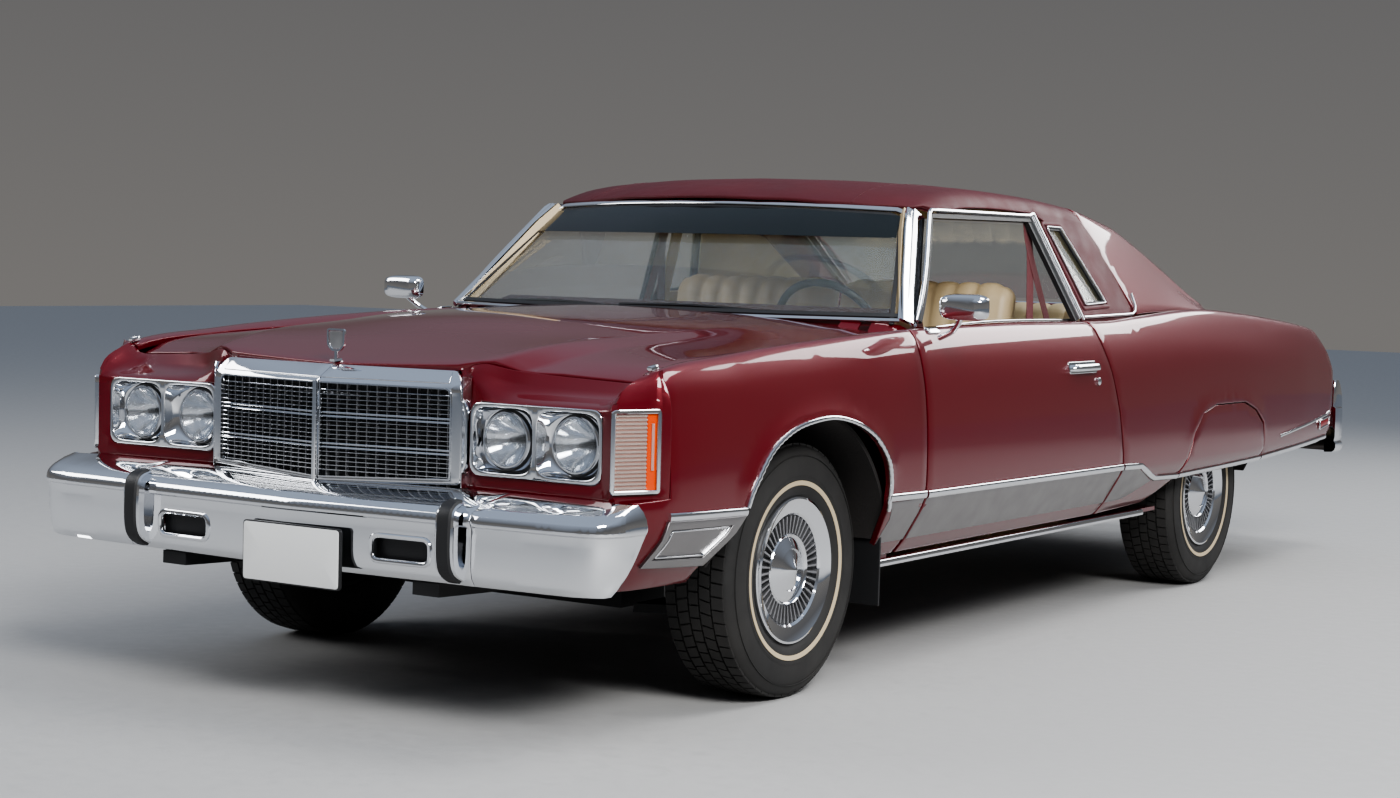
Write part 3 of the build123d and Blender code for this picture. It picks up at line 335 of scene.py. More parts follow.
def panel(surface, outline, out, depth=12, pitch=40, roll=3, holes=(), lines=()):
    """Closed sheet on a surface: rounded edges, an outer skin and an inner one below it.

    surface turns (u, v) into a car point, out points away from the car, and depth is the
    sheet's thickness, or a function of (u, v). Corners also lie along the given lines."""
    loops = []
    for index, loop in enumerate([outline, *holes]):
        loop = even_line(loop, pitch, closed=True)
        loop = [p for i, p in enumerate(loop) if (p - loop[i - 1]).length > 0.5]
        if (signed_area(loop) > 0) != (index == 0):
            loop.reverse()
        loops.append(loop)
    depth_at = depth if callable(depth) else lambda u, v: depth

    inner_loops = [pulled_in(loop, roll) for loop in loops]
    flat = [p for loop in inner_loops for p in loop]
    edges, start = [], 0
    for loop in inner_loops:
        edges += [(start + i, start + (i + 1) % len(loop)) for i in range(len(loop))]
        start += len(loop)
    low_u, high_u = min(p.x for p in flat), max(p.x for p in flat)
    low_v, high_v = min(p.y for p in flat), max(p.y for p in flat)
    columns, levels = math.ceil((high_u - low_u) / pitch), math.ceil((high_v - low_v) / pitch)

    def within(u, v, reach):
        if not inside(inner_loops[0], u, v) or near_line(inner_loops[0], u, v, reach):
            return False
        return not any(inside(h, u, v) or near_line(h, u, v, reach) for h in inner_loops[1:])

    laid = []
    for line in lines:
        line = even_line(line, pitch)
        kept = [within(*p, min(4, pitch * 0.3)) for p in line]
        spots = [flat.append(p) or len(flat) - 1 if keep else None for p, keep in zip(line, kept)]
        edges += [(a, b) for a, b in zip(spots, spots[1:]) if a is not None and b is not None]
        laid.append(line)
    for i in range(1, columns):
        for j in range(1, levels):
            u = low_u + (high_u - low_u) * i / columns
            v = low_v + (high_v - low_v) * j / levels
            close = any((p - Vector((u, v))).length < pitch * 0.45 for line in laid for p in line)
            if not close and within(u, v, pitch * 0.45):
                flat.append(Vector((u, v)))
    points, _, triangles, origins, _, _ = delaunay_2d_cdt(flat, edges, [], 0, 1e-4)
    where = {old: new for new, olds in enumerate(origins) for old in olds}
    middles = [sum((points[i] for i in t), Vector((0, 0))) / 3 for t in triangles]
    triangles = [t for t, p in zip(triangles, middles) if inside(inner_loops[0], *p)
                 and not any(inside(hole, *p) for hole in inner_loops[1:])]
    middle = sum(middles, Vector((0, 0))) / len(middles)
    nearest = min(points, key=lambda p: (p - middle).length)
    turned = surface_normal(surface, *nearest).dot(Vector(out)) < 0

    def normal_at(u, v):
        return surface_normal(surface, u, v) * (-1 if turned else 1)

    form = Form()
    form.corners = [Vector(surface(*p)) for p in points]
    normals = [normal_at(*p) for p in points]
    form.faces = [tuple(t)[::-1] if turned else tuple(t) for t in triangles]
    count = len(points)
    form.corners += [c - n * depth_at(*p) for c, n, p in zip(form.corners, normals, points)]
    form.faces += [tuple(i + count for i in f[::-1]) for f in form.faces]
    start = 0
    for loop, inner in zip(loops, inner_loops):
        size = len(loop)
        rings = [[where[start + i] for i in range(size)]]
        start += size
        normals_here = [normal_at(*p) for p in loop]
        for angle in (30, 60, 90):
            share, drop = math.sin(math.radians(angle)), roll * (1 - math.cos(math.radians(angle)))
            ring = []
            for edge, rim, normal in zip(loop, inner, normals_here):
                at = rim + (edge - rim) * share
                ring.append(len(form.corners))
                form.corners.append(Vector(surface(*at)) - normal * drop)
            rings.append(ring)
        low = []
        for edge, normal in zip(loop, normals_here):
            low.append(len(form.corners))
            form.corners.append(Vector(surface(*edge)) - normal * max(depth_at(*edge), roll + 0.5))
        rings.append(low)
        rings.append([i + count for i in rings[0]])
        for upper, lower in zip(rings, rings[1:]):
            for i in range(size):
                j = (i + 1) % size
                face = (upper[i], lower[i], lower[j], upper[j])
                form.faces.append(face[::-1] if turned else face)
    return form


# Turning forms into pieces

def new_object(name, form):
    """Object at the origin whose mesh holds a form in the frame's metres."""
    mesh = bpy.data.meshes.new(name)
    mesh.from_pydata([place(*c) for c in form.corners], [], form.faces)
    mesh.validate()
    obj = bpy.data.objects.new(name, mesh)
    bpy.context.scene.collection.objects.link(obj)
    return obj


def settle(obj):
    """Applies the object's modifiers to its mesh."""
    graph = bpy.context.evaluated_depsgraph_get()
    mesh = bpy.data.meshes.new_from_object(obj.evaluated_get(graph), depsgraph=graph)
    obj.modifiers.clear()
    obj.data = mesh
    return obj


# Corners nearer than this, in metres, are one
SAME_CORNER = 0.00002


def clean(obj, turn_out=True):
    """Joins doubled corners and turns a closed skin's faces outwards."""
    mesh = bmesh.new()
    mesh.from_mesh(obj.data)
    bmesh.ops.remove_doubles(mesh, verts=mesh.verts, dist=SAME_CORNER)
    bmesh.ops.dissolve_degenerate(mesh, edges=mesh.edges, dist=SAME_CORNER / 2)
    if turn_out:
        bmesh.ops.recalc_face_normals(mesh, faces=mesh.faces)
    mesh.to_mesh(obj.data)
    mesh.free()
    return obj


def finish_piece(obj, body, slot, finish="", replaces=(), crease=35):
    """Gives a piece its finish, by default the one named as its slot, its shading and body."""
    material = FINISH[finish or slot]
    if material.name not in obj.data.materials:
        obj.data.materials.append(material)
    obj.data.shade_smooth()
    obj.data.set_sharp_from_angle(angle=math.radians(crease))
    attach(obj, body)
    if replaces:
        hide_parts(*replaces)
    return obj


def piece(name, form, body, slot, finish="", replaces=(), crease=35, bevel=0):
    """Whole way from a form to a piece of the car."""
    obj = clean(new_object(name, form))
    if bevel:
        rounding = obj.modifiers.new("Edges", "BEVEL")
        rounding.width, rounding.segments = bevel * MM, 2
        rounding.limit_method, rounding.angle_limit = "ANGLE", math.radians(40)
        settle(obj)
    return finish_piece(obj, body, slot, finish, replaces, crease)


def body_pair(name, form, slot, finish="", replaces=(), bevel=0):
    """One piece of the body: a form and its mirror image."""
    piece(name, form.with_mirror(), "body", slot, finish, replaces, bevel=bevel)


def both_sides(name, form, bodies, slot, finish="", node=""):
    """A left piece and its mirror image, each on its own body and in place of its node."""
    for side, shape, body in (("left", form, bodies[0]), ("right", form.mirrored(), bodies[1])):
        piece(f"{name}_{side}", shape, body, slot, finish, (f"{node}_{side}",) if node else ())


def discard(obj):
    """Removes an object and its mesh."""
    mesh = obj.data
    bpy.data.objects.remove(obj)
    bpy.data.meshes.remove(mesh)


def carve(name, form, tools):
    """Object of a closed form with other closed forms cut away."""
    obj = clean(new_object(name, form))
    cutters = []
    for tool in tools:
        cutter = clean(new_object(name + "_cutter", tool))
        cut = obj.modifiers.new("Cut", "BOOLEAN")
        cut.operation, cut.solver, cut.object = "DIFFERENCE", "EXACT", cutter
        cutters.append(cutter)
    settle(obj)
    for cutter in cutters:
        discard(cutter)
    return obj


# Repeats made by node trees

def array_tree(name, radial):
    """Tree that copies a unit along a line or about a line across the car."""
    tree = bpy.data.node_groups.new(name, "GeometryNodeTree")
    for label, way, kind in (("Unit", "INPUT", "Geometry"), ("Count", "INPUT", "Int"),
                             ("Step", "INPUT", "Vector"), ("Centre", "INPUT", "Vector"),
                             ("Finish", "INPUT", "Material"), ("Geometry", "OUTPUT", "Geometry")):
        tree.interface.new_socket(label, in_out=way, socket_type="NodeSocket" + kind)
    nodes, links = tree.nodes, tree.links
    start, end = nodes.new("NodeGroupInput"), nodes.new("NodeGroupOutput")
    line = nodes.new("GeometryNodeMeshLine")
    copies = nodes.new("GeometryNodeInstanceOnPoints")
    realize = nodes.new("GeometryNodeRealizeInstances")
    finish = nodes.new("GeometryNodeSetMaterial")
    links.new(start.outputs["Count"], line.inputs["Count"])
    if radial:
        line.inputs["Offset"].default_value = (0, 0, 0)
        links.new(start.outputs["Centre"], line.inputs["Start Location"])
        index = nodes.new("GeometryNodeInputIndex")
        turn = nodes.new("ShaderNodeVectorMath")
        turn.operation = "SCALE"
        links.new(start.outputs["Step"], turn.inputs[0])
        links.new(index.outputs[0], turn.inputs["Scale"])
        links.new(turn.outputs[0], copies.inputs["Rotation"])
    else:
        links.new(start.outputs["Step"], line.inputs["Offset"])
        line.inputs["Start Location"].default_value = (0, 0, 0)
    links.new(line.outputs[0], copies.inputs["Points"])
    links.new(start.outputs["Unit"], copies.inputs["Instance"])
    links.new(copies.outputs[0], realize.inputs[0])
    links.new(realize.outputs[0], finish.inputs["Geometry"])
    links.new(start.outputs["Finish"], finish.inputs["Material"])
    links.new(finish.outputs[0], end.inputs[0])
    return tree


TREES = {}


def repeated(name, form, count, step, finish, centre=None):
    """Object of a unit copied along a step, or turned about a centre by a step of radians."""
    radial = centre is not None
    key = "Turned copies" if radial else "Copies along a line"
    if key not in TREES:
        TREES[key] = array_tree(key, radial)
    obj = clean(new_object(name, form), turn_out=False)
    if radial:
        middle = place(*centre)
        obj.data.transform(Matrix.Translation(-middle))
    modifier = obj.modifiers.new("Copies", "NODES")
    modifier.node_group = TREES[key]
    names = {s.name: s.identifier for s in TREES[key].interface.items_tree if s.in_out == "INPUT"}
    modifier[names["Count"]] = count
    modifier[names["Step"]] = [v * (1 if radial else MM) for v in step]
    modifier[names["Centre"]] = list(middle) if radial else [0, 0, 0]
    modifier[names["Finish"]] = FINISH[finish]
    return settle(obj)


def merged(name, objects):
    """One object of several, all of it in the finish that it is given next."""
    mesh = bmesh.new()
    for obj in objects:
        mesh.from_mesh(obj.data)
        discard(obj)
    for face in mesh.faces:
        face.material_index = 0
    data = bpy.data.meshes.new(name)
    mesh.to_mesh(data)
    mesh.free()
    whole = bpy.data.objects.new(name, data)
    bpy.context.scene.collection.objects.link(whole)
    return whole


# Materials

class Finish:
    """One node-based material; its methods add texture nodes on the piece's own coordinates."""

    def __init__(self, name, colour, roughness, **sockets):
        self.material = bpy.data.materials.new(name)
        self.material.use_nodes = True
        self.tree = self.material.node_tree
        self.shader = self.tree.nodes["Principled BSDF"]
        self.shader.inputs["Base Color"].default_value = (*colour[:3], 1)
        self.shader.inputs["Roughness"].default_value = roughness
        for socket, value in sockets.items():
            self.shader.inputs[socket.replace("_", " ")].default_value = value
        self.height = None

    def node(self, kind, **values):
        """Adds a node and sets its properties."""
        made = self.tree.nodes.new(kind)
        for key, value in values.items():
            setattr(made, key, value)
        return made

    def link(self, a, b):
        """Joins two sockets."""
        self.tree.links.new(a, b)

    def coordinates(self, scale=(1, 1, 1)):
        """Object coordinates, stretched."""
        source = self.node("ShaderNodeTexCoord")
        mapping = self.node("ShaderNodeMapping")
        mapping.inputs["Scale"].default_value = scale
        self.link(source.outputs["Object"], mapping.inputs[0])
        return mapping.outputs[0]

    def pattern(self, kind, scale, stretch=(1, 1, 1), **values):
        """Texture node on the piece's coordinates; the scale is cells to the metre."""
        made = self.node(kind, **values)
        made.inputs["Scale"].default_value = scale
        self.link(self.coordinates(stretch), made.inputs["Vector"])
        return made

    def noise(self, scale, detail=4, stretch=(1, 1, 1)):
        """Cloudy pattern."""
        made = self.pattern("ShaderNodeTexNoise", scale, stretch)
        made.inputs["Detail"].default_value = detail
        return made.outputs["Fac"]

    def cells(self, scale):
        """Cell pattern, for grain and flakes."""
        return self.pattern("ShaderNodeTexVoronoi", scale).outputs["Distance"]

    def weave(self, scale):
        """Slanting ribs, for webbing."""
        made = self.pattern("ShaderNodeTexWave", scale, bands_direction="DIAGONAL")
        return made.outputs["Fac"]

    def ramp(self, factor, low, high, socket):
        """Colours along a factor, from the pattern's darker third to its lighter one."""
        made = self.node("ShaderNodeValToRGB")
        for element, at, colour in zip(made.color_ramp.elements, (0.3, 0.7), (low, high)):
            element.position, element.color = at, (*colour, 1)
        self.link(factor, made.inputs[0])
        self.link(made.outputs["Color"], self.shader.inputs[socket])
        return self

    def vary(self, factor, low, high):
        """Base colour between two colours."""
        return self.ramp(factor, low, high, "Base Color")

    def roughen(self, factor, low, high):
        """Roughness between two values."""
        return self.ramp(factor, (low,) * 3, (high,) * 3, "Roughness")

    def bump(self, height, distance, strength=1.0):
        """Relief in millimetres, on top of any before it."""
        made = self.node("ShaderNodeBump")
        made.inputs["Strength"].default_value = strength
        made.inputs["Distance"].default_value = distance * MM
        self.link(height, made.inputs["Height"])
        if self.height:
            self.link(self.height, made.inputs["Normal"])
        self.height = made.outputs[0]
        self.link(self.height, self.shader.inputs["Normal"])
        return self


def shade(colour, factor):
    """A lighter or darker colour."""
    return tuple(min(1, c * factor) for c in colour[:3])


# The car's surfaces, in millimetres

# Height above which the body side is shaped up to its crown
WAIST = 520
# Body side, one row a station: place, widest x, crown x and z, inner edge x and z
SIDE_ROWS = (
    (-884, 952, 930, 846, 880, 846), (-745, 990, 942, 938, 892, 925),
    (-400, 1006, 944, 978, 889, 960), (0, 1012, 944, 1008, 879, 978),
    (598, 1012, 941, 1033, 868, 1005), (1250, 1012, 937, 1040, 868, 1040),
    (2106, 1012, 930, 1040, 866, 1040), (2440, 1012, 926, 1056, 862, 1050),
    (3000, 1010, 915, 1078, 858, 1068), (3500, 1004, 906, 1060, 846, 1050),
    (4050, 985, 898, 1023, 838, 1016), (4345, 966, 888, 998, 832, 992),
    (4620, 946, 872, 972, 826, 966),
)
# Front wheel opening, (s, z) along its lip
ARCH = ((-545, 400), (-529, 427), (-404, 563), (-375, 633), (-299, 715), (-192, 765),
        (-78, 786), (42, 790), (167, 766), (271, 721), (340, 655), (374, 583), (378, 533),
        (398, 470), (452, 352))
ARCH_LIP = curve_through(ARCH[2:13], 5)
# Upper edge of the skirt, (s, z)
SKIRT = ((2693, 459), (2767, 613), (2850, 687), (2977, 712), (3296, 710), (3426, 676),
         (3524, 618), (3577, 486))
SKIRT_LIP = curve_through(SKIRT, 4)
# Width of the raised band round the wheel opening and the skirt
BAND_WIDTH = 52
# The bright strip's runs along the side: ahead of the wheel, behind it, door, quarter, skirt, tail
STRIPS = (((-748, 572), (-405, 563)), ((373, 543), (600, 538)), ((612, 537), (2092, 528)),
          ((2104, 528), (2262, 523), (2400, 480), (2457, 466), (2693, 458)),
          ((2698, 460), (3140, 467), (3574, 476)), ((3584, 477), (4459, 515)))


def side_at(s, t):
    """Left body side; t is the height up to the crown and the way inboard beyond it."""
    wide, crown_x, crown_z, inner_x, inner_z = smooth_row(SIDE_ROWS, s)
    rise = crown_z - WAIST
    knots = [(z, wide - inset, z, blend) for z, inset, blend in (
        (280, 138, 0), (345, 117, 12), (395, 77, 12), (512, 8, 12), (560, 1, 30), (650, 0, 40),
        (WAIST + 0.45 * rise, 3, 50), (WAIST + 0.68 * rise, 14, 50),
        (WAIST + 0.885 * rise, wide - crown_x - 32, 40))]
    knots.append((crown_z, crown_x, crown_z, 26))
    knots.append((crown_z + crown_x - inner_x, inner_x, inner_z, 0))
    x, z = rounded(knots, t)
    return x, s, z


def side_top(s, gap=2):
    """How far t runs at a place before the side's inner top edge."""
    crown_x, crown_z, inner_x = smooth_row(SIDE_ROWS, s)[1:4]
    return crown_z + crown_x - inner_x - gap


def flared_at(s, t):
    """Body side with the raised bands round the wheel opening and the skirt."""
    x, s, z = side_at(s, t)
    lip, high = (ARCH_LIP, 11) if s < 1500 else (SKIRT_LIP, 7)
    away = min((Vector((s, t)) - a).length for a in lip)
    faded = max(0, min(1, (t - 560) / 90))
    return x + high * faded * max(0, 1 - away / BAND_WIDTH), s, z


def offset_side(distance):
    """The body side moved outwards by a distance."""
    def moved(s, t):
        along = Vector(side_at(s + 2, t)) - Vector(side_at(s - 2, t))
        up = Vector(side_at(s, t + 2)) - Vector(side_at(s, t - 2))
        return Vector(side_at(s, t)) + along.cross(up).normalized() * distance
    return moved


# Hood, one row a station: middle height, then ridge, foot of its slope and edge as x and z
HOOD_ROWS = (
    (-900, 915, 452, 922, 536, 888, 886, 880), (-872, 923, 466, 929, 546, 899, 886, 884),
    (-830, 934, 480, 943, 552, 910, 885, 888), (-745, 952, 500, 962, 574, 927, 884, 899),
    (-640, 974, 512, 979, 598, 950, 882, 936), (-500, 1000, 530, 992, 622, 972, 880, 953),
    (-268, 1039, 562, 1004, 650, 990, 876, 964), (100, 1056, 620, 1026, 694, 1012, 871, 980),
    (350, 1066, 655, 1029, 720, 1020, 866, 992), (660, 1078, 700, 1030, 770, 1022, 860, 1005),
)
# Front edge of the hood, (x, s)
HOOD_FRONT = ((0, -889), (396, -862), (452, -834), (660, -757), (820, -733), (880, -728))


def hood_at(x, s):
    """Hood: a raised middle, a ridge, a sloping band and a flat beside the fender."""
    middle, ridge_x, ridge_z, foot_x, foot_z, edge_x, edge_z = smooth_row(HOOD_ROWS, s)

    def height(x):
        x = abs(x)
        if x < ridge_x:
            return middle + (ridge_z - middle) * (x / ridge_x) ** 2
        if x < foot_x:
            return ridge_z + (foot_z - ridge_z) * (x - ridge_x) / (foot_x - ridge_x)
        return foot_z + (edge_z - foot_z) * (x - foot_x) / (edge_x - foot_x)
    return x, s, sum(height(x + d) for d in (-12, -6, 0, 6, 12)) / 5


def hood_rear(x):
    """Rear edge of the hood."""
    return 402 + 246 * (x / 868) ** 2


# Nose, one row a corner of its plan: way along it, then the vertical face and the three
# points above it that lean back to the hood and the fender
NOSE_ROWS = (
    (396, 396, -846, 396, -846, 880, 396, -850, 900, 396, -856, 916, 0),
    (430, 430, -852, 430, -850, 885, 430, -850, 905, 430, -849, 923, 3),
    (438, 438, -861, 438, -860, 893, 438, -856, 915, 438, -848, 931, 3),
    (470, 470, -863, 470, -858, 872, 470, -846, 904, 470, -834, 937, 12),
    (540, 540, -864, 540, -848, 851, 540, -812, 878, 540, -808, 921, 25),
    (650, 650, -866, 650, -850, 849, 650, -788, 868, 650, -765, 911, 40),
    (850, 850, -869, 850, -855, 848, 850, -770, 866, 850, -737, 902, 12),
    (886, 886, -875, 886, -866, 850, 886, -800, 884, 888, -737, 904, 6),
    (906, 906, -886, 906, -882, 857, 910, -852, 898, 917, -745, 934, 5),
    (962, 935, -826, 934, -822, 862, 932, -800, 902, 934, -742, 938, 20),
    (1030, 960, -764, 958, -760, 864, 954, -754, 900, 946, -742, 938, 10),
    (1064, 990, -744, 987, -744, 862, 974, -744, 896, 946, -743, 937, 0),
)


def nose_at(u, v):
    """Painted nose; u runs outwards along its plan and v up its section."""
    x0, s0, x1, s1, z1, x2, s2, z2, x3, s3, z3 = rounded(NOSE_ROWS, u)
    knots = ((545, x0, s0, 545, 0), (838, x0, s0, 838, 4), (860, x1, s1, z1, 8),
             (900, x2, s2, z2, 18), (940, x3, s3, z3, 0))
    return rounded(knots, v)


# Roof, one row a station: middle height, edge x and z
ROOF_ROWS = (
    (800, 1412, 779, 1326), (881, 1427, 772, 1341), (950, 1452, 761, 1366),
    (1120, 1487, 745, 1401), (1300, 1500, 739, 1414), (1600, 1503, 738, 1417),
    (1900, 1495, 741, 1409), (2150, 1478, 749, 1392), (2300, 1463, 756, 1377),
    (2480, 1428, 752, 1350), (2600, 1400, 748, 1330),
)
# Way from the roof's middle to its edge, the drop there, and the fall of the side beyond it
ROOF_EDGE, ROOF_EDGE_DROP, ROOF_SIDE_FALL = 762, 86, 0.912
ROOF_DROP = ((0, 0, 0), (305, 5, 60), (533, 18, 40), (617, 24, 30), (709, 36, 20), (741, 56, 12),
             (ROOF_EDGE, ROOF_EDGE_DROP, 4), (1300, 577, 0))
# Side of the glasshouse: the height of its foot, how far its head lies above that, and one
# row a station with x at both
GLASS_FOOT, GLASS_HEIGHT = 1045, 353
PLAN_ROWS = ((600, 836, 690), (770, 890, 741), (1000, 905, 746), (2300, 905, 746),
             (2480, 903, 738), (3010, 873, 700), (3290, 848, 670))


def side_glass_x(s, z):
    """The glasshouse's side, leaning inwards with height."""
    low, high = smooth_row(PLAN_ROWS, s)
    return low + (high - low) * (z - GLASS_FOOT) / GLASS_HEIGHT


def arc_back(t):
    """How far the roof's front edge lies behind its middle, an arc in plan."""
    return t * t / 2680


def roof_at(t, s):
    """Roof across the car; beyond its edge t runs down the side of the glasshouse."""
    lead = arc_back(t) * max(0, min(1, (1500 - s) / 500))
    middle, edge_x, edge_z = smooth_row(ROOF_ROWS, s - lead)
    drop = rounded(ROOF_DROP, abs(t))[0]
    if abs(t) <= ROOF_EDGE:
        x, z = abs(t) / ROOF_EDGE * edge_x, middle - drop * (middle - edge_z) / ROOF_EDGE_DROP
    else:
        z = edge_z - ROOF_SIDE_FALL * (abs(t) - ROOF_EDGE)
        x = edge_x + side_glass_x(s, z) - side_glass_x(s, edge_z)
    return math.copysign(x, t), s, z


def on_side(s, z):
    """The roof's (t, s) for a place and a height on the side of the glasshouse."""
    return ROOF_EDGE + (smooth_row(ROOF_ROWS, s)[2] - z) / ROOF_SIDE_FALL, s


# Rear part of the roof, one row a station: belt, shoulder and inner edge as x and z
SAIL_ROWS = (
    (2200, 904, 1046, 752, 1388, 664, 1446), (2300, 904, 1046, 756, 1377, 664, 1432),
    (2480, 900, 1058, 754, 1350, 660, 1403), (2600, 895, 1062, 752, 1328, 656, 1385),
    (2800, 882, 1066, 762, 1262, 672, 1322), (3010, 868, 1068, 782, 1180, 700, 1238),
    (3180, 858, 1066, 806, 1112, 740, 1148), (3300, 851, 1064, 824, 1072, 772, 1084),
)


def sail_at(u, s):
    """Rear of the roof: u is 0 at the middle, 1 at the inner edge, 2 at the shoulder, 3 at
    the belt, times 300."""
    belt_x, belt_z, shoulder_x, shoulder_z, inner_x, inner_z = smooth_row(SAIL_ROWS, s)
    middle = smooth_row(ROOF_ROWS, s)[0] if s < 2600 else inner_z + 15
    knots = ((0, 0, middle, 0), (150, inner_x * 0.55, inner_z + (middle - inner_z) * 0.72, 60),
             (300, inner_x, inner_z, 60), (450, inner_x * 0.3 + shoulder_x * 0.7,
                                           inner_z * 0.52 + shoulder_z * 0.48 + 14, 60),
             (600, shoulder_x, shoulder_z, 70), (900, belt_x, belt_z, 0))
    x, z = rounded(knots, abs(u))
    return math.copysign(x, u), s, z


# Deck lid along its middle, (s, z)
DECK_ROWS = ((3430, 1052), (3800, 1040), (4050, 1020), (4345, 992), (4450, 968), (4510, 932),
             (4545, 880), (4562, 820), (4552, 728))


def along_rows(rows):
    """Rows of (s, z) with the way along them put first, for surfaces that turn down."""
    found, way = [], 0
    for i, row in enumerate(rows):
        if i:
            way += math.hypot(row[0] - rows[i - 1][0], row[1] - rows[i - 1][1])
        found.append((way, *row))
    return found


DECK_WAY = along_rows(DECK_ROWS)
# Rear end of a quarter, (z, s)
TAIL_ROWS = ((548, 4526), (620, 4544), (700, 4554), (760, 4566), (800, 4575), (840, 4562),
             (880, 4538), (925, 4480), (985, 4418))


def tail_end_at(x, z):
    """Closing face at the rear of a quarter, beside the deck lid."""
    s = smooth_row(TAIL_ROWS, z)[0]
    return x, s - 10 + 10 * max(0, min(1, (940 - x) / 60)), z


def deck_at(x, w):
    """Deck lid, from the rear window's foot back and down to the tail."""
    s, z = smooth_row(DECK_WAY, w)
    sag = 12 * (x / 826) ** 2
    return x, s - sag * 0.4, z - sag


# Front bumper, one row a level: height, set back, end place and end x
BUMPER_ROWS = (
    (618, 175, -890, 985), (612, 140, -882, 990), (603, 80, -874, 996), (590, 38, -868, 1001),
    (577, 14, -864, 1005), (566, 4, -862, 1007), (550, 0, -862, 1008), (543, 1, -862, 1008),
    (538, 9, -864, 1003), (500, 9, -890, 1001), (470, 9, -913, 1000), (430, 10, -946, 994),
    (404, 16, -966, 984), (386, 30, -978, 972),
)
BUMPER_TIP_S = -1085


def bumper_at(u, z):
    """Front bumper; u runs outwards along its plan from the middle."""
    inset, end_s, end_x = smooth_row([(-r[0], *r[1:]) for r in BUMPER_ROWS], -z)
    a = abs(u)
    knots = ((0, 0, BUMPER_TIP_S + inset, 0), (500, 500, -1062 + inset, 90),
             (880, 880, -1046 + inset, 30),
             (960, end_x - 42, -1028 + 0.75 * inset, 30),
             (1030, end_x - 8, min(-968 + 0.4 * inset, end_s - 16), 30),
             (1140, end_x, end_s, 0))
    x, s = rounded(knots, a)
    if a < 30:
        s += (30 - a) ** 2 / 60 * 0.05
    return math.copysign(x, u), s, z


GRILLE_TOP = 874


def set_back(x):
    """How far the grille's shallow V lies back at a distance from its middle."""
    return 66 * x / 436


def grille_at(x, z):
    """Grille and header bar: a shallow V in plan, leaning back above the bars."""
    a = abs(x)
    lean = max(0, z - GRILLE_TOP) / 44 * (72 - 45 * a / 405)
    return x, -958 + set_back(a) + lean, z


# Windshield and rear window, one row a height: place at the middle, half width, place at the end
SCREEN_ROWS = ((1040, 434, 869, 695), (1398, 890, 690, 1062), (1440, 935, 668, 1098))
BACKLIGHT_ROWS = ((1060, 3370, 775, 3288), (1398, 2560, 640, 2500), (1420, 2530, 628, 2480))


def screen_at(u, z):
    """Windshield: u from -1000 to 1000 across its arc."""
    middle, wide, end = smooth_row(SCREEN_ROWS, z)
    return wide * u / 1000, middle + (end - middle) * (u / 1000) ** 2, z


def backlight_at(u, z):
    """Rear window, as the windshield."""
    middle, wide, end = smooth_row(BACKLIGHT_ROWS, z)
    return wide * u / 1000, middle + (end - middle) * (u / 1000) ** 2, z


# Lines where a panel's sheet bends sharply
SIDE_LINES = [[(s, smooth_row(SIDE_ROWS, s)[2] + d) for s in range(-735, 4400, 60)]
              for d in (-26, -13, 0, 13, 26)]
SIDE_LINES += [[(s, z) for s in (-700, 4500)] for z in (383, 395, 407, 500, 512, 524)]
HOOD_LINES = [[(side * (smooth_row(HOOD_ROWS, s)[column] + d), s) for s in range(-860, 620, 60)]
              for side in (-1, 1) for column in (1, 3) for d in (-12, -4, 4, 12)]
NOSE_LINES = [[(440, v), (1062, v)] for v in (832, 838, 844, 852, 860, 868, 888, 900, 912)]
NOSE_LINES += [[(u, 842), (u, 940)] for u in (845, 855, 884, 899, 912, 946, 980, 1025, 1040)]
ROOF_LINES = [[(side * t, s) for s in (900, 2230)] for side in (-1, 1)
              for t in (500, 533, 570, 600, 617, 640, 690, 709, 728, 741, 752, 762, 766)]
BUMPER_LINES = [[(-1130, z), (1130, z)]
                for z in (603, 590, 584, 577, 571, 566, 550, 543, 538, 404)]
BUMPER_LINES += [[(side * u, 392), (side * u, 612)] for side in (-1, 1)
                 for u in (860, 880, 900, 930, 945, 960, 975, 1000, 1015, 1030, 1045)]


def superellipse(centre, half_wide, half_high, power=5, count=64):
    """Rounded rectangle as an even ring of points."""
    found = []
    for i in range(count):
        angle = math.tau * i / count
        c, s = math.cos(angle), math.sin(angle)
        found.append((centre[0] + half_wide * math.copysign(abs(c) ** (2 / power), c),
                      centre[1] + half_high * math.copysign(abs(s) ** (2 / power), s)))
    return found


def both_halves(half, middle):
    """Outline across the car: the half with positive x, the rear middle, the other half."""
    return half + [middle] + [(-x, y) for x, y in reversed(half[1:])]


def puffed(outline, distance):
    """Anticlockwise outline of (s, z) points moved outwards."""
    return pulled_in([Vector(p) for p in outline], -distance)


def cushion(outline, low_x, high_x, puff, pleat):
    """Upholstered pad: a rounded (s, z) outline across x, with pleats and soft ends."""
    edge, steps = 46, 6
    outline = [Vector(p) for p in outline]
    if signed_area(outline) < 0:
        outline.reverse()
    outline = even_line(round_corners(outline, 55, 5), 45, closed=True)
    pleats = max(1, round((high_x - low_x - 2 * edge) / pleat))
    stations = [(low_x + edge * (1 - math.cos(math.pi / 2 * k / 5)),
                 -edge * (1 - math.sin(math.pi / 2 * k / 5))) for k in range(6)]
    inner = high_x - low_x - 2 * edge
    stations += [(low_x + edge + inner * k / (pleats * steps),
                  puff * abs(math.sin(math.pi * (k % steps) / steps)) ** 0.6)
                 for k in range(1, pleats * steps)]
    stations += [(high_x - (x - low_x), out) for x, out in reversed(stations[:6])]
    rows = [[(x, p.x, p.y) for p in puffed(outline, out)] for x, out in stations]
    return tube_form(rows)


# Settings shown in the sidebar

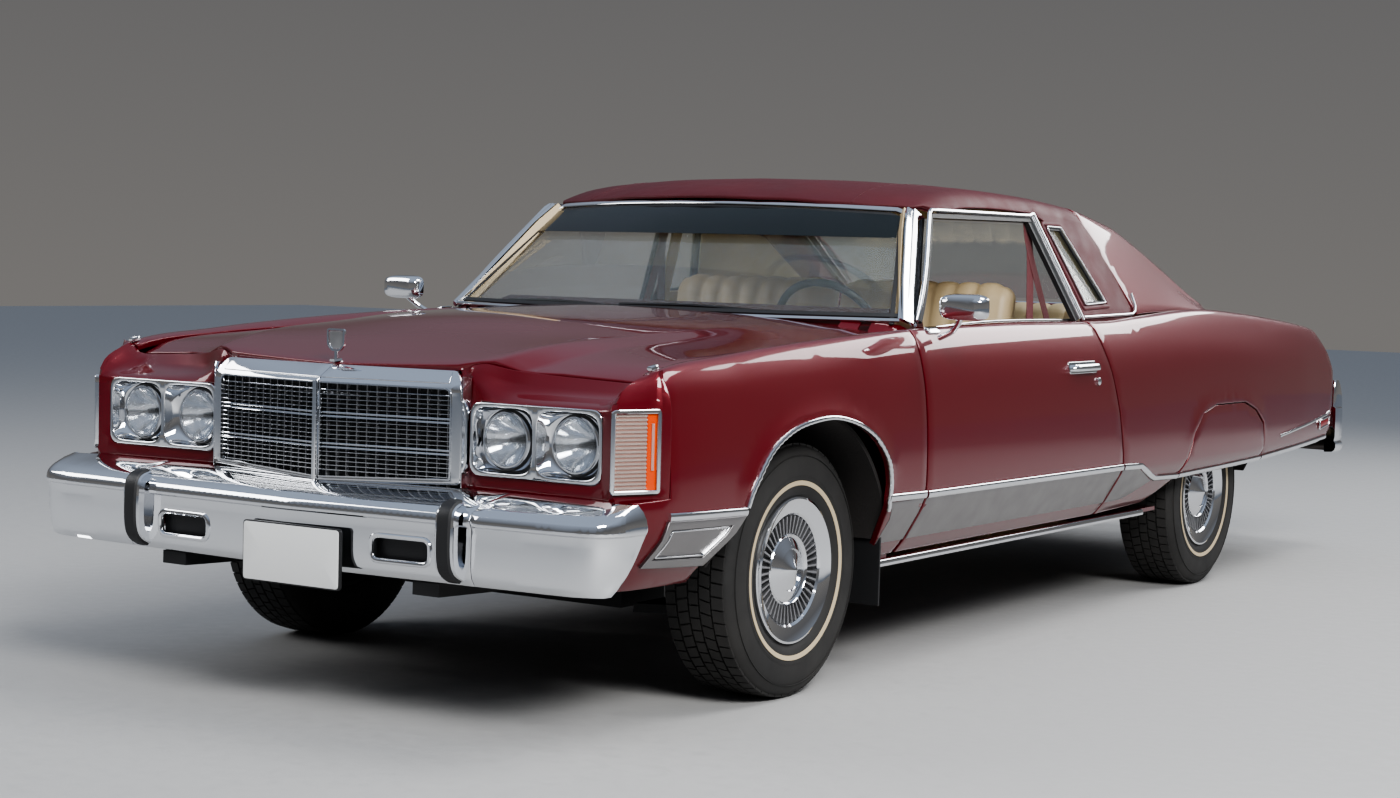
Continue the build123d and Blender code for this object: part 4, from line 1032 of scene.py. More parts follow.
def length(name, description, default):
    """Length setting in metres."""
    return bpy.props.FloatProperty(name=name, description=description, default=default,
                                   unit="LENGTH", precision=4)


def colour(name, description, default):
    """Colour setting."""
    return bpy.props.FloatVectorProperty(name=name, description=description, default=default,
                                         subtype="COLOR", size=3, min=0, max=1)


class CarPaint(bpy.types.PropertyGroup):
    """Colours of the car."""
    body: colour("Body", "Burgundy of the painted panels", (0.118, 0.003, 0.008))
    vinyl: colour("Vinyl", "Maroon of the roof covering", (0.070, 0.006, 0.010))
    hide: colour("Hide", "Cream of the seats and inner trim", (0.60, 0.47, 0.28))
    cabin: colour("Cabin", "Burgundy of dashboard, belts and carpet", (0.10, 0.012, 0.016))


class CarPanels(bpy.types.PropertyGroup):
    """Sheet metal sizes."""
    pitch: length("Pitch", "Widest spacing of a panel's corners", 0.042)
    roll: length("Rolled edge", "Radius of a panel's rounded edge", 0.003)
    strip: length("Strip", "Height of the bright strip along the side", 0.022)


class CarWheels(bpy.types.PropertyGroup):
    """Tyre and cover sizes."""
    fins: bpy.props.IntProperty(name="Fins", description="Fins round each wheel cover",
                                default=44, min=8)
    blocks: bpy.props.IntProperty(name="Tread blocks", description="Tread pitches round a tyre",
                                  default=60, min=16)
    ring: length("Sidewall ring", "Radius of the cream ring on the tyre's side", 0.245)


class CarFront(bpy.types.PropertyGroup):
    """Grille and lamp sizes."""
    bars: bpy.props.IntProperty(
        name="Bars", description="Thin bars in each grille band", default=5, min=1)
    uprights: bpy.props.IntProperty(
        name="Uprights", description="Upright bars in each grille half", default=13, min=1)
    lens: length("Lens", "Radius of a headlamp's lens", 0.071)


class CarSeats(bpy.types.PropertyGroup):
    """Seat padding."""
    puff: length("Puff", "How far a pleat's padding stands out", 0.012)
    pleat: length("Pleat", "Width of one pleat", 0.085)


FINISH = {}


def make_finishes(settings):
    """All materials of the car, by a plain name."""
    made = {
        "paint": Finish("Burgundy paint", settings.body, 0.36, Metallic=0.3,
                        Specular_IOR_Level=0.15, Coat_Weight=1.0, Coat_Roughness=0.025),
        "vinyl": Finish("Maroon vinyl", settings.vinyl, 0.5, Specular_IOR_Level=0.35),
        "chrome": Finish("Bright plating", (0.80, 0.81, 0.83), 0.05, Metallic=1.0),
        "satin": Finish("Satin plating", (0.36, 0.36, 0.37), 0.36, Metallic=0.9),
        "brushed": Finish("Brushed side panel", (0.30, 0.29, 0.29), 0.34, Metallic=1.0),
        "glass": Finish("Tinted glass", (0.50, 0.62, 0.56), 0.02, IOR=1.45,
                        Specular_IOR_Level=0.3, Transmission_Weight=0.9, Alpha=0.22),
        "band": Finish("Sun band glass", (0.010, 0.014, 0.016), 0.04, Alpha=0.88),
        "lens": Finish("Clear lens", (0.9, 0.93, 0.95), 0.03, IOR=1.45,
                       Transmission_Weight=0.9, Alpha=0.30),
        "ribbed": Finish("Ribbed clear lens", (0.72, 0.62, 0.56), 0.08, IOR=1.45,
                         Transmission_Weight=0.55, Alpha=0.8),
        # Darker copy of the ribbed lens's tint for the lens between the ribs: painted shade, so
        # that the lighter ribs stand out
        "shaded_lens": Finish("Lens in painted shade", (0.30, 0.17, 0.14), 0.3),
        "amber": Finish("Amber lens", (0.90, 0.09, 0.004), 0.10, Transmission_Weight=0.25),
        "red": Finish("Red lens", (0.35, 0.004, 0.004), 0.12, Transmission_Weight=0.3),
        "reflector": Finish("Lamp reflector", (0.80, 0.82, 0.85), 0.10, Metallic=1.0),
        "rubber": Finish("Black rubber", (0.014, 0.014, 0.015), 0.5),
        "tyre": Finish("Tyre rubber", (0.020, 0.019, 0.019), 0.72),
        "cream_ring": Finish("Cream sidewall ring", (0.55, 0.45, 0.30), 0.6),
        "chassis": Finish("Chassis black", (0.018, 0.018, 0.019), 0.6, Metallic=0.3),
        "underseal": Finish("Underseal", (0.022, 0.019, 0.018), 0.85),
        "iron": Finish("Bare iron", (0.17, 0.15, 0.14), 0.5, Metallic=0.8),
        "hide": Finish("Cream hide", settings.hide, 0.46),
        "lining": Finish("Cream headlining", shade(settings.hide, 0.9), 0.85),
        "cabin": Finish("Burgundy trim", shade(settings.cabin, 0.45), 0.55),
        "carpet": Finish("Burgundy carpet", shade(settings.cabin, 0.6), 0.95, Sheen_Weight=0.4),
        "belt": Finish("Belt webbing", (0.12, 0.005, 0.010), 0.6, Sheen_Weight=0.3),
        "black": Finish("Black plastic", (0.012, 0.012, 0.013), 0.42),
        "plate": Finish("Blank plate", (0.80, 0.80, 0.78), 0.4),
        "floor": Finish("Pale floor", (0.40, 0.395, 0.385), 0.75),
    }
    paint, vinyl, brushed, tyre = (made[n] for n in ("paint", "vinyl", "brushed", "tyre"))
    paint.bump(paint.cells(2600), 0.02, 0.10).bump(paint.noise(7, 2), 0.2, 0.04)
    vinyl.bump(vinyl.cells(420), 0.35, 0.5).roughen(vinyl.noise(14), 0.46, 0.58)
    vinyl.vary(vinyl.noise(3, 5), shade(settings.vinyl, 0.85), shade(settings.vinyl, 1.15))
    brushed.bump(brushed.noise(900, 2, stretch=(1, 0.01, 1)), 0.05, 0.3)
    brushed.roughen(brushed.noise(12, 4), 0.28, 0.42)
    tyre.bump(tyre.noise(160, 3), 0.3, 0.4).roughen(tyre.noise(9), 0.62, 0.82)
    tyre.vary(tyre.noise(5, 6), (0.015, 0.0145, 0.014), (0.030, 0.028, 0.026))
    hide = made["hide"]
    hide.bump(hide.cells(500), 0.25, 0.4)
    hide.vary(hide.noise(4, 5), shade(settings.hide, 0.88), shade(settings.hide, 1.06))
    belt = made["belt"]
    belt.bump(belt.weave(500), 0.3, 0.4)
    for name, scale, depth in (("underseal", 90, 1.5), ("carpet", 800, 1.2), ("chassis", 60, 0.3),
                               ("iron", 70, 0.4), ("lining", 700, 0.3), ("cabin", 350, 0.3),
                               ("rubber", 250, 0.15), ("black", 300, 0.1), ("floor", 60, 0.2)):
        made[name].bump(made[name].noise(scale, 3), depth, 0.5)
    for name in ("chrome", "satin", "reflector", "glass", "band", "lens", "ribbed", "amber", "red",
                 "shaded_lens", "cream_ring", "plate", "floor"):
        finish = made[name]
        base = finish.shader.inputs["Roughness"].default_value
        finish.roughen(finish.noise(20, 4), base * 0.8, base * 1.25)
    FINISH.update((name, finish.material) for name, finish in made.items())


# Bodies that a left and a right piece ride on
BODY_SIDES = ("body", "body")
DOORS = ("door_left", "door_right")
# Directions that a panel or a strip faces
OUT = (1, 0, 0.2)
INWARDS = (-1, 0, 0)
AHEAD = (0, -1, 0.1)
AHEAD_LEVEL = (0, -1, 0)
REAR = (0, 1, 0)
UP = (0, 0, 1)


def half_round(width, depth):
    """Section of a bright strip: flat on the panel, domed outside."""
    half, shoulder = width / 2, depth * 0.55
    dome = [(depth * (0.55 + 0.45 * math.sin(angle)), -half * math.cos(angle))
            for angle in (math.pi * k / 6 for k in range(1, 6))]
    return [(-1.0, -half), (shoulder, -half), *dome, (shoulder, half), (-1.0, half)]


# Finishes of the frame's own solids that stay in view
CAD_FINISH = {
    "frame_rails": "chassis", "rear_frame_rails": "chassis", "floor_pan": "underseal",
    "engine_block": "iron", "radiator": "chassis", "cowl": "paint", "hinge_pillars": "paint",
    "wheelhouses": "underseal", "mud_flaps": "rubber", "windshield": "glass",
    "rear_window": "glass", "quarter_windows": "glass", "rockers": "paint", "rear_deck": "paint",
    "dashboard": "cabin", "rear_axle": "chassis",
    "suspension": "chassis", "exhaust": "iron", "fuel_tank": "chassis",
    "steering_wheel": "black", "knuckle_left": "iron", "knuckle_right": "iron",
}


class CAR_OT_finishes(bpy.types.Operator):
    """Makes the materials and gives them to the frame's own solids"""
    bl_idname = "car.finishes"
    bl_label = "Finishes"
    bl_options = {"REGISTER", "UNDO"}

    def execute(self, context):
        """Materials by name, then one for each solid that stays in view."""
        make_finishes(context.scene.car_paint)
        for name, finish in CAD_FINISH.items():
            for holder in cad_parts[name].material_slots:
                holder.material = FINISH[finish]
        return {"FINISHED"}


# Side panels, (s, t) on the body side
FENDER_LINE = ([(s, side_top(s)) for s in range(596, -742, -60)] + [
    (-741, side_top(-741)), (-741, 618), (-864, 612), (-858, 590), (-858, 552), (-884, 500),
    (-905, 380), (-545, 380)] + curve_through(ARCH, 3) + [
    (596, 352), (601, 535), (598, 860), (596, 1000)])
DOOR_LINE = ([(2094, 352), (2095, 540), (2047, 722), (1982, 900), (1932, 1042),
              (1931, side_top(1931, 8))]
             + [(s, side_top(s, 8)) for s in range(1900, 611, -120)]
             + [(606, side_top(606, 8)), (606, 1000), (608, 860), (611, 535), (618, 352)])
QUARTER_LINE = ([(1942, side_top(1942, 8)), (1942, 1044), (1993, 903), (2058, 724), (2105, 540),
                 (2105, 352), (2500, 366), (2688, 452)]
                + [(s - 4 if s < 3100 else s + 4, z + 4) for s, z in SKIRT]
                + [(3584, 462), (4455, 508), (4528, 545), (4546, 620), (4556, 700), (4580, 800),
                   (4540, 880), (4482, 925), (4420, 985), (4345, side_top(4345))]
                + [(s, side_top(s)) for s in range(4250, 2000, -150)])
SKIRT_LINE = [(2693, 452)] + list(SKIRT[1:]) + [(3578, 470)]
# Inside of a door: its outline, (s, z), and its x
DOOR_CORE = ((622, 360), (2086, 360), (2086, 540), (2040, 718), (1975, 896), (1924, 1030),
             (770, 1030), (770, 888), (622, 888))
CARD_X = 868


def door_slab():
    """Inside of a door: a slab from the inner card out to just behind the skin."""
    def depth(s, z):
        return max(6, side_at(s, min(z, smooth_row(SIDE_ROWS, s)[2] - 4))[0] - 17 - CARD_X)
    return panel(lambda s, z: (CARD_X, s, z), DOOR_CORE, INWARDS, depth, 90, 4)


class CAR_OT_sides(bpy.types.Operator):
    """Builds fenders, doors, quarters and skirts"""
    bl_idname = "car.sides"
    bl_label = "Side panels"
    bl_options = {"REGISTER", "UNDO"}

    def execute(self, context):
        """Painted panels, door cards and arm rests of both sides."""
        panels = context.scene.car_panels
        pitch, roll = panels.pitch / MM, panels.roll / MM
        flare = [puffed(ARCH_LIP[::-1], away)[1:-1] for away in (26, 50)]
        fender = panel(flared_at, FENDER_LINE, OUT, lambda s, t: 4 if s > 505 else 18, pitch * 0.8,
                       roll, lines=SIDE_LINES + flare)
        both_sides("fender", fender, BODY_SIDES, "paint", node="fender")
        skin = panel(side_at, DOOR_LINE, OUT,
                     lambda s, t: 7 if s < 700 and 790 < t < 940 else 14, pitch, roll,
                     lines=SIDE_LINES)
        both_sides("door_skin", skin, DOORS, "paint", node="door")
        slab = door_slab()
        for sign, body in ((1, "door_left"), (-1, "door_right")):
            form = slab if sign > 0 else slab.mirrored()
            pockets = [block_form((min(sign * 850, sign * 990), 600, z - 30),
                                  (max(sign * 850, sign * 990), 680, z + 30)) for z in (600, 860)]
            core = carve(f"door_core_{body[5:]}", form, pockets)
            finish_piece(core, body, "paint")
        card = panel(lambda s, z: (CARD_X - 8, s, z), ((700, 372), (2060, 372), (2060, 540),
                                                       (2016, 716), (1950, 890), (1908, 1022),
                                                       (790, 1022), (700, 880)), INWARDS, 7, 90, 3)
        both_sides("door_card", card, DOORS, "cream_leather", "hide")
        rest = sweep([(850, 980, 690), (846, 1100, 720), (844, 1700, 720), (850, 1820, 690)],
                     ring_profile(26, 12), INWARDS)
        both_sides("arm_rest", rest, DOORS, "cream_leather", "hide")
        brow = [puffed(SKIRT_LIP[::-1], away)[2:-2] for away in (26, 50)]
        quarter = panel(flared_at, QUARTER_LINE, OUT, 16, pitch, roll, lines=SIDE_LINES + brow)
        both_sides("quarter", quarter, BODY_SIDES, "paint", node="quarter")
        skirt = panel(offset_side(1.5), SKIRT_LINE, OUT, 14, pitch, roll, lines=SIDE_LINES[5:])
        body_pair("wheel_skirts", skirt, "paint", replaces=("wheel_skirts",))
        post = panel(lambda s, z: (938, s, z), ((2112, 446), (2170, 446), (2170, 940), (1985, 940),
                                                (2062, 724), (2110, 540)), OUT, 70, 90, 3)
        body_pair("rear_door_posts", post, "paint")
        return {"FINISHED"}


def hinge_pair(centre, radius, half_long, steps, low, high, half_lug):
    """Two hinges on one axis: a lug between low and high (s, z), and a barrel at the centre."""
    x, *axis = centre
    lugs = [block_form((side * x - half_lug, *low), (side * x + half_lug, *high))
            for side in (-1, 1)]
    barrel = flat_bar(0.5, radius, half_long)
    return joined(lugs + [lathe(barrel, (side * x, *axis), steps=steps) for side in (-1, 1)])


class CAR_OT_lids(bpy.types.Operator):
    """Builds the hood, the deck lid and the tail"""
    bl_idname = "car.lids"
    bl_label = "Hood and deck"
    bl_options = {"REGISTER", "UNDO"}

    def execute(self, context):
        """Hood, deck lid, cowl corners and tail panel."""
        panels = context.scene.car_panels
        pitch = panels.pitch / MM
        right = list(HOOD_FRONT)
        right += [(smooth_row(HOOD_ROWS, s)[5] - 1, s) for s in range(-640, 600, 120)]
        right += [(x, hood_rear(x) - 1) for x in (859, 760, 640, 480, 320, 160)]
        outline = both_halves(right, (0, hood_rear(0) - 1))
        hood = panel(hood_at, outline, UP, 16, pitch * 0.9, 4, lines=HOOD_LINES)
        piece("hood", hood, "hood", "paint", replaces=("hood",))
        hinges = hinge_pair((768, 640, 985), 9, 28, 20, (520, 962), (652, 1000), 8)
        piece("hood_hinges", hinges, "hood", "paint", "chassis")
        last = DECK_WAY[-1][0]
        ways = [[(-820, row[0]), (820, row[0])] for row in DECK_WAY[3:-1]]
        lid = panel(deck_at, rectangle(-824, 24, 824, last), UP, 14, pitch * 1.1, 4, lines=ways)
        piece("deck_lid", lid, "deck_lid", "paint", replaces=("deck_lid",))
        hinges = hinge_pair((600, 3443, 1045), 5, 36, 16, (3443, 1034), (3490, 1046), 14)
        piece("deck_lid_hinges", hinges, "deck_lid", "paint", "chassis")
        deck = panel(lambda x, s: (x, s, 1058 - 12 * (x / 840) ** 2 - (s - 3160) * 0.02),
                     ((-842, 3300), (0, 3390), (842, 3300), (838, 3440), (-838, 3440)), UP, 10,
                     pitch * 1.4, 3)
        piece("deck_front", deck, "body", "paint")
        front = [(700, 580, 1022), (754, 607, 1014), (782, 622, 1010), (820, 642, 1004),
                 (852, 664, 1001), (879, 684, 1003)]
        rear = [(700, 611, 1044), (754, 638, 1043), (782, 653, 1043), (820, 673, 1041),
                (852, 704, 1034), (879, 727, 1016)]
        rows = [[Vector(f).lerp(Vector(r), k / 4) for k in range(5)] for f, r in zip(front, rear)]
        rows = [row + [p - Vector((0, 0, 6)) for p in reversed(row)] for row in rows]
        corner = tube_form(rows[:2]).add(tube_form(rows[2:]))
        body_pair("cowl_corners", corner, "paint")
        tail = panel(lambda x, z: (x, 4546 - 20 * (x / 928) ** 2, z),
                     rectangle(-926, 562, 926, 722), REAR, 30, pitch * 1.6, 4)
        piece("tail_panel", tail, "body", "paint", replaces=("tail_panel",))
        return {"FINISHED"}


# Each headlamp: its centre, then its cell's centre and half sizes
LAMPS = (((545, 743), (555, 744), 95, 84), ((765, 743), (760, 744), 97, 84))
# Opening of a corner lamp, (u, v) on the nose
CORNER_LAMP = rectangle(908, 635, 1034, 838)
NOSE_OUT = (0.5, -1, 0.1)


def turned(profile, centre, steps=48):
    """Closed form turned about a line along the car; profile rows are radius and s."""
    x, z = centre
    return grid_form([[(x + r * math.cos(a), s, z + r * math.sin(a)) for r, s in profile]
                      for a in (math.tau * i / steps for i in range(steps))], True, True)


class CAR_OT_nose(bpy.types.Operator):
    """Builds the painted nose, the lamps and their surrounds"""
    bl_idname = "car.nose"
    bl_label = "Nose"
    bl_options = {"REGISTER", "UNDO"}

    def execute(self, context):
        """Header panel with its openings, then the lamps that sit in them."""
        panels, front = context.scene.car_panels, context.scene.car_front
        outline = ([(438, 600), (860, 600), (884, 556), (1060, 556), (1062, 700), (1062, 860),
                    (1062, 938)]
                   + [(u, 940) for u in (1030, 962, 906, 886, 850, 650, 540, 470, 438, 402)]
                   + [(402, 862), (438, 862)])
        bezel = round_corners(rectangle(449, 648, 868, 840), 34)
        form = panel(nose_at, outline, AHEAD, 9, panels.pitch / MM * 0.5, 1.8,
                     [bezel, CORNER_LAMP], NOSE_LINES)
        body_pair("header_panel", form, "paint", replaces=("header_panel",))
        self.headlamps(front.lens / MM)
        self.corner_lamps()
        return {"FINISHED"}

    def headlamps(self, lens):
        """Chrome surrounds with two dished cells a side, and a lamp in each."""
        outline = round_corners(rectangle(450, 649, 867, 839), 34)
        cells = [superellipse(*lamp[1:]) for lamp in LAMPS]
        surround = panel(lambda x, z: (x, -873, z), outline, AHEAD, 12, 22, 3, cells)
        dishes, rings, gaps, domes, mirrors, bulbs = (Form() for _ in range(6))
        for (centre, *_), cell in zip(LAMPS, cells):
            hole = superellipse(centre, lens + 9, lens + 9, 2)
            rows = [[(a[0] + (b[0] - a[0]) * share, -869 + 37 * math.sin(math.pi / 2 * share),
                      a[1] + (b[1] - a[1]) * share) for a, b in zip(cell, hole)]
                    for share in (k / 6 for k in range(7))]
            back = [[(x, s + 3, z) for x, s, z in row] for row in reversed(rows)]
            dishes.add(grid_form(rows + back, True, True))
            gaps.add(turned([(lens + 10, -832), (lens + 1, -836), (lens + 1, -820),
                             (lens + 10, -820)], centre))
            rings.add(turned([(lens + 3, -842), (lens + 1, -846), (lens - 3, -846),
                              (lens - 5, -841), (lens - 5, -830), (lens + 3, -830)], centre))
            dome = [(lens * math.sin(a), -842 - 14 * math.cos(a))
                    for a in (math.pi / 2 * k / 8 for k in range(9))]
            dome[0] = (0.2, dome[0][1])
            domes.add(turned(dome + [(lens - 4, -836)]
                             + [(r * 0.96, s + 3) for r, s in reversed(dome[:-1])], centre))
            bowl = [(lens - 5 - (lens - 12) * k / 8, -838 + 46 * math.sin(math.pi / 2 * k / 8))
                    for k in range(9)]
            mirrors.add(turned(bowl + [(r + 2, s + 3) for r, s in reversed(bowl)], centre))
            bulbs.add(turned([(0.3, -822), (6, -820), (8, -812), (8, -792), (0.3, -792)],
                             centre, 16))
        body_pair("headlamp_bezels", surround.add(dishes), "chrome", replaces=("headlamp_bezels",))
        body_pair("headlamp_rings", rings, "chrome", replaces=("headlamps",))
        body_pair("headlamp_gaps", gaps, "black_plastic", "black")
        body_pair("headlamp_lenses", domes, "lamp_glass", "lens")
        body_pair("headlamp_reflectors", mirrors, "chrome", "reflector")
        body_pair("headlamp_bulbs", bulbs, "black_plastic", "black")

    def corner_lamps(self):
        """Wrap-round lamps: chrome frame, ribbed clear front, amber side."""
        rim = trim(nose_at, round_corners(CORNER_LAMP, 6, 3), NOSE_OUT,
                   [(-3, -6), (6, -6), (8, -4), (8, 3), (6, 5), (-3, 5)], closed=True, pitch=14)
        clear, amber = (panel(nose_at, rectangle(a, 638, b, 836), NOSE_OUT, 8, 14, 2)
                        for a, b in ((910, 998), (999, 1032)))
        slim = trim(nose_at, [(1015, 690), (1015, 808)], NOSE_OUT,
                    [(0, -4), (3, -4), (4, 0), (3, 4), (0, 4)], pitch=30)
        body_pair("corner_lamp_frames", rim, "chrome", replaces=("corner_lamps",))
        # The clear front between the ribs takes the darker lens colour, painted shade beside the
        # lighter ribs
        body_pair("corner_lamp_lenses", clear, "lamp_glass", "shaded_lens")
        body_pair("corner_lamp_ambers", amber, "amber_lens", "amber")
        body_pair("corner_lamp_strips", slim, "lamp_glass", "ribbed")
        rib = trim(nose_at, [(911, 647), (997, 647)], NOSE_OUT,
                   [(0, -3), (3, -1.6), (3, 1.6), (0, 3)], pitch=8)
        ribs = repeated("corner_lamp_ribs", rib.with_mirror(), 19, (0, 0, 10), "ribbed")
        finish_piece(ribs, "body", "lamp_glass", "ribbed")


class CAR_OT_grille(bpy.types.Operator):
    """Builds the upright grille, its bars and the bare header bar"""
    bl_idname = "car.grille"
    bl_label = "Grille"
    bl_options = {"REGISTER", "UNDO"}

    def execute(self, context):
        """Frame, header bar, bars, uprights and the dark backing."""
        front = context.scene.car_front
        hole = [(10, 620), (403, 634), (405, 640), (405, 846), (404, 856), (399, 864), (390, 868),
                (10, 869)]
        outline = [(1, 606), (428, 621), (436, 628), (437, 640), (437, 850), (434, 872), (424, 897),
                   (405, 915), (396, 917), (1, 917)]
        shell = panel(grille_at, outline, AHEAD, 46, 22, 3.5, [hole],
                      [[(1, z), (434, z)] for z in (GRILLE_TOP, GRILLE_TOP + 3)])
        lip = trim(grille_at, hole, AHEAD, [(-2, -2), (2.5, -1.5), (2.5, 1.5), (-2, 2)], True, 40)
        header = panel(lambda x, z: Vector(grille_at(x, z)) + Vector((0, -2.4, 1.6)),
                       [(1, 882), (398, 882), (392, 911), (1, 911)], AHEAD, 3, 40, 1.5)
        centre = sweep([(0, -961, 612), (0, -961, 872)],
                       [(0, -7), (6, -7), (9, -4), (9, 4), (6, 7), (0, 7)], AHEAD_LEVEL)
        flank = sweep([(440, -870, 614), (440, -870, 902)],
                      [(-8, -10), (20, -3), (20, -1), (-8, 5)], AHEAD_LEVEL)
        shell.add(lip).add(flank)
        piece("grille_frame", shell.with_mirror().add(centre), "body", "chrome",
              replaces=("grille",))
        body_pair("header_bar", header, "chrome")

        def bar(height, depth, z, ahead):
            ends = [Vector(grille_at(x, z)) + Vector((0, ahead, 0)) for x in (6, 406)]
            section = [(-depth, -height / 2), (-1, -height / 2), (0, -height / 4), (0, height / 4),
                       (-1, height / 2), (-depth, height / 2)]
            return sweep(ends, section, AHEAD_LEVEL).with_mirror()
        low, pitch = 626, 12
        band = (front.bars + 1) * pitch
        bars = []
        for k in range(3):
            start = low + k * (band + 10)
            bars.append(repeated(f"grille_bars_{k}", bar(3.2, 12, start + pitch, 8), front.bars,
                                 (0, 0, pitch), "chrome"))
            if k < 2:
                bars.append(repeated(f"grille_pair_{k}", bar(4.6, 14, start + band, 3), 2,
                                     (0, 0, 10), "chrome"))
        finish_piece(merged("grille_bars", bars), "body", "chrome")
        step = 396 / front.uprights
        foot = Vector(grille_at(step * 0.5 + 8, 612)) + Vector((0, 12, 0))
        upright = sweep([foot, foot + Vector((0, 0, 262))], flat_bar(-12, 0, 1.1), AHEAD_LEVEL)
        slats = [repeated("upright", form, front.uprights, (sign * step, set_back(step), 0),
                          "satin") for form, sign in ((upright, 1), (upright.mirrored(), -1))]
        finish_piece(merged("grille_uprights", slats), "body", "chrome", "satin")
        back = panel(lambda x, z: Vector(grille_at(x, min(z, GRILLE_TOP))) + Vector((0, 32, 0)),
                     [(1, 612), (428, 626), (428, 880), (1, 880)], AHEAD, 4, 60, 1)
        body_pair("grille_back", back, "black_plastic", "black")
        return {"FINISHED"}


class CAR_OT_roof(bpy.types.Operator):
    """Builds the vinyl roof, the painted rear of the roof and the headlining"""
    bl_idname = "car.roof"
    bl_label = "Roof"
    bl_options = {"REGISTER", "UNDO"}

    def execute(self, context):
        """Vinyl with its framed quarter windows, then the painted sails."""
        panels = context.scene.car_panels
        pitch = panels.pitch / MM
        right = ([(t, 884 + arc_back(t)) for t in (0, 200, 400, 560)] + [(690, 1066), (764, 1150)]
                 + [(769, s) for s in (1400, 1700)] + [(770, 1850)]
                 + [on_side(1922, 1380), on_side(1936, 1036), on_side(2378, 1036),
                    on_side(2428, 1066), on_side(2438, 1124), on_side(2330, 1290),
                    on_side(2252, 1376), (706, 2232), (400, 2228)])
        outline = both_halves(right, (0, 2226))
        opera = [on_side(s, z) for s, z in ((2003, 1096), (1919, 1356), (2029, 1355), (2178, 1103))]
        vinyl = panel(roof_at, outline, UP, 9, pitch, 4, [opera, [(-t, s) for t, s in opera]],
                      ROOF_LINES)
        bead = [(-1, -3), (0.8, -2.6), (1.5, 0), (0.8, 2.6), (-1, 3)]
        for sign in (1, -1):
            vinyl.add(trim(roof_at, [(sign * 505, 985), (sign * 500, 2226)], UP, bead, pitch=60))
        brim = [on_side(s, z) for s, z in ((1978, 1080), (1893, 1372), (2046, 1371), (2205, 1087))]
        brim = trim(roof_at, round_corners(brim, 14, 3), OUT,
                    [(-1, -9), (3, -7), (5, 0), (3, 7), (-1, 9)], True, 50)
        vinyl.add(brim.with_mirror())
        piece("vinyl_roof", vinyl, "body", "vinyl", replaces=("roof",))
        right = [(u, 2228) for u in (0, 150, 300)] + [(450, 2232), (600, 2246), (640, 2270),
                                                      (760, 2360), (838, 2404), (870, 2420)]
        right += [(896, 2440)] + [(896, s) for s in (2700, 3000)] + [(880, 3270), (600, 3296),
                                                                    (300, 3292)]
        right += [(300, s) for s in (3100, 2900, 2700)] + [(290, 2590), (240, 2548)]
        outline = both_halves(right, (0, 2560))
        sail = panel(sail_at, outline, UP, 12, pitch * 0.8, 4)
        piece("roof_rear", sail, "body", "paint")
        line = [(t, 905 + arc_back(t)) for t in (0, 300, 560)] + [(700, 1120), (718, 1500),
                                                                   (718, 2100), (600, 2480)]
        line = both_halves(line, (0, 2500))
        lining = panel(lambda t, s: Vector(roof_at(t, s)) - Vector((0, 0, 22)), line, UP, 6,
                       pitch * 2, 2)
        piece("headlining", lining, "body", "vinyl", "lining")
        inner = panel(lambda s, z: (side_glass_x(s, z) - 34, s, z),
                      [(1950, 1046), (1838, 1372), (2180, 1366), (2520, 1310), (2900, 1150),
                       (2980, 1046)], INWARDS, 8, 80, 3,
                      [[(1996, 1088), (1908, 1362), (2036, 1362), (2190, 1094)]])
        body_pair("quarter_trims", inner, "vinyl", "hide")
        return {"FINISHED"}


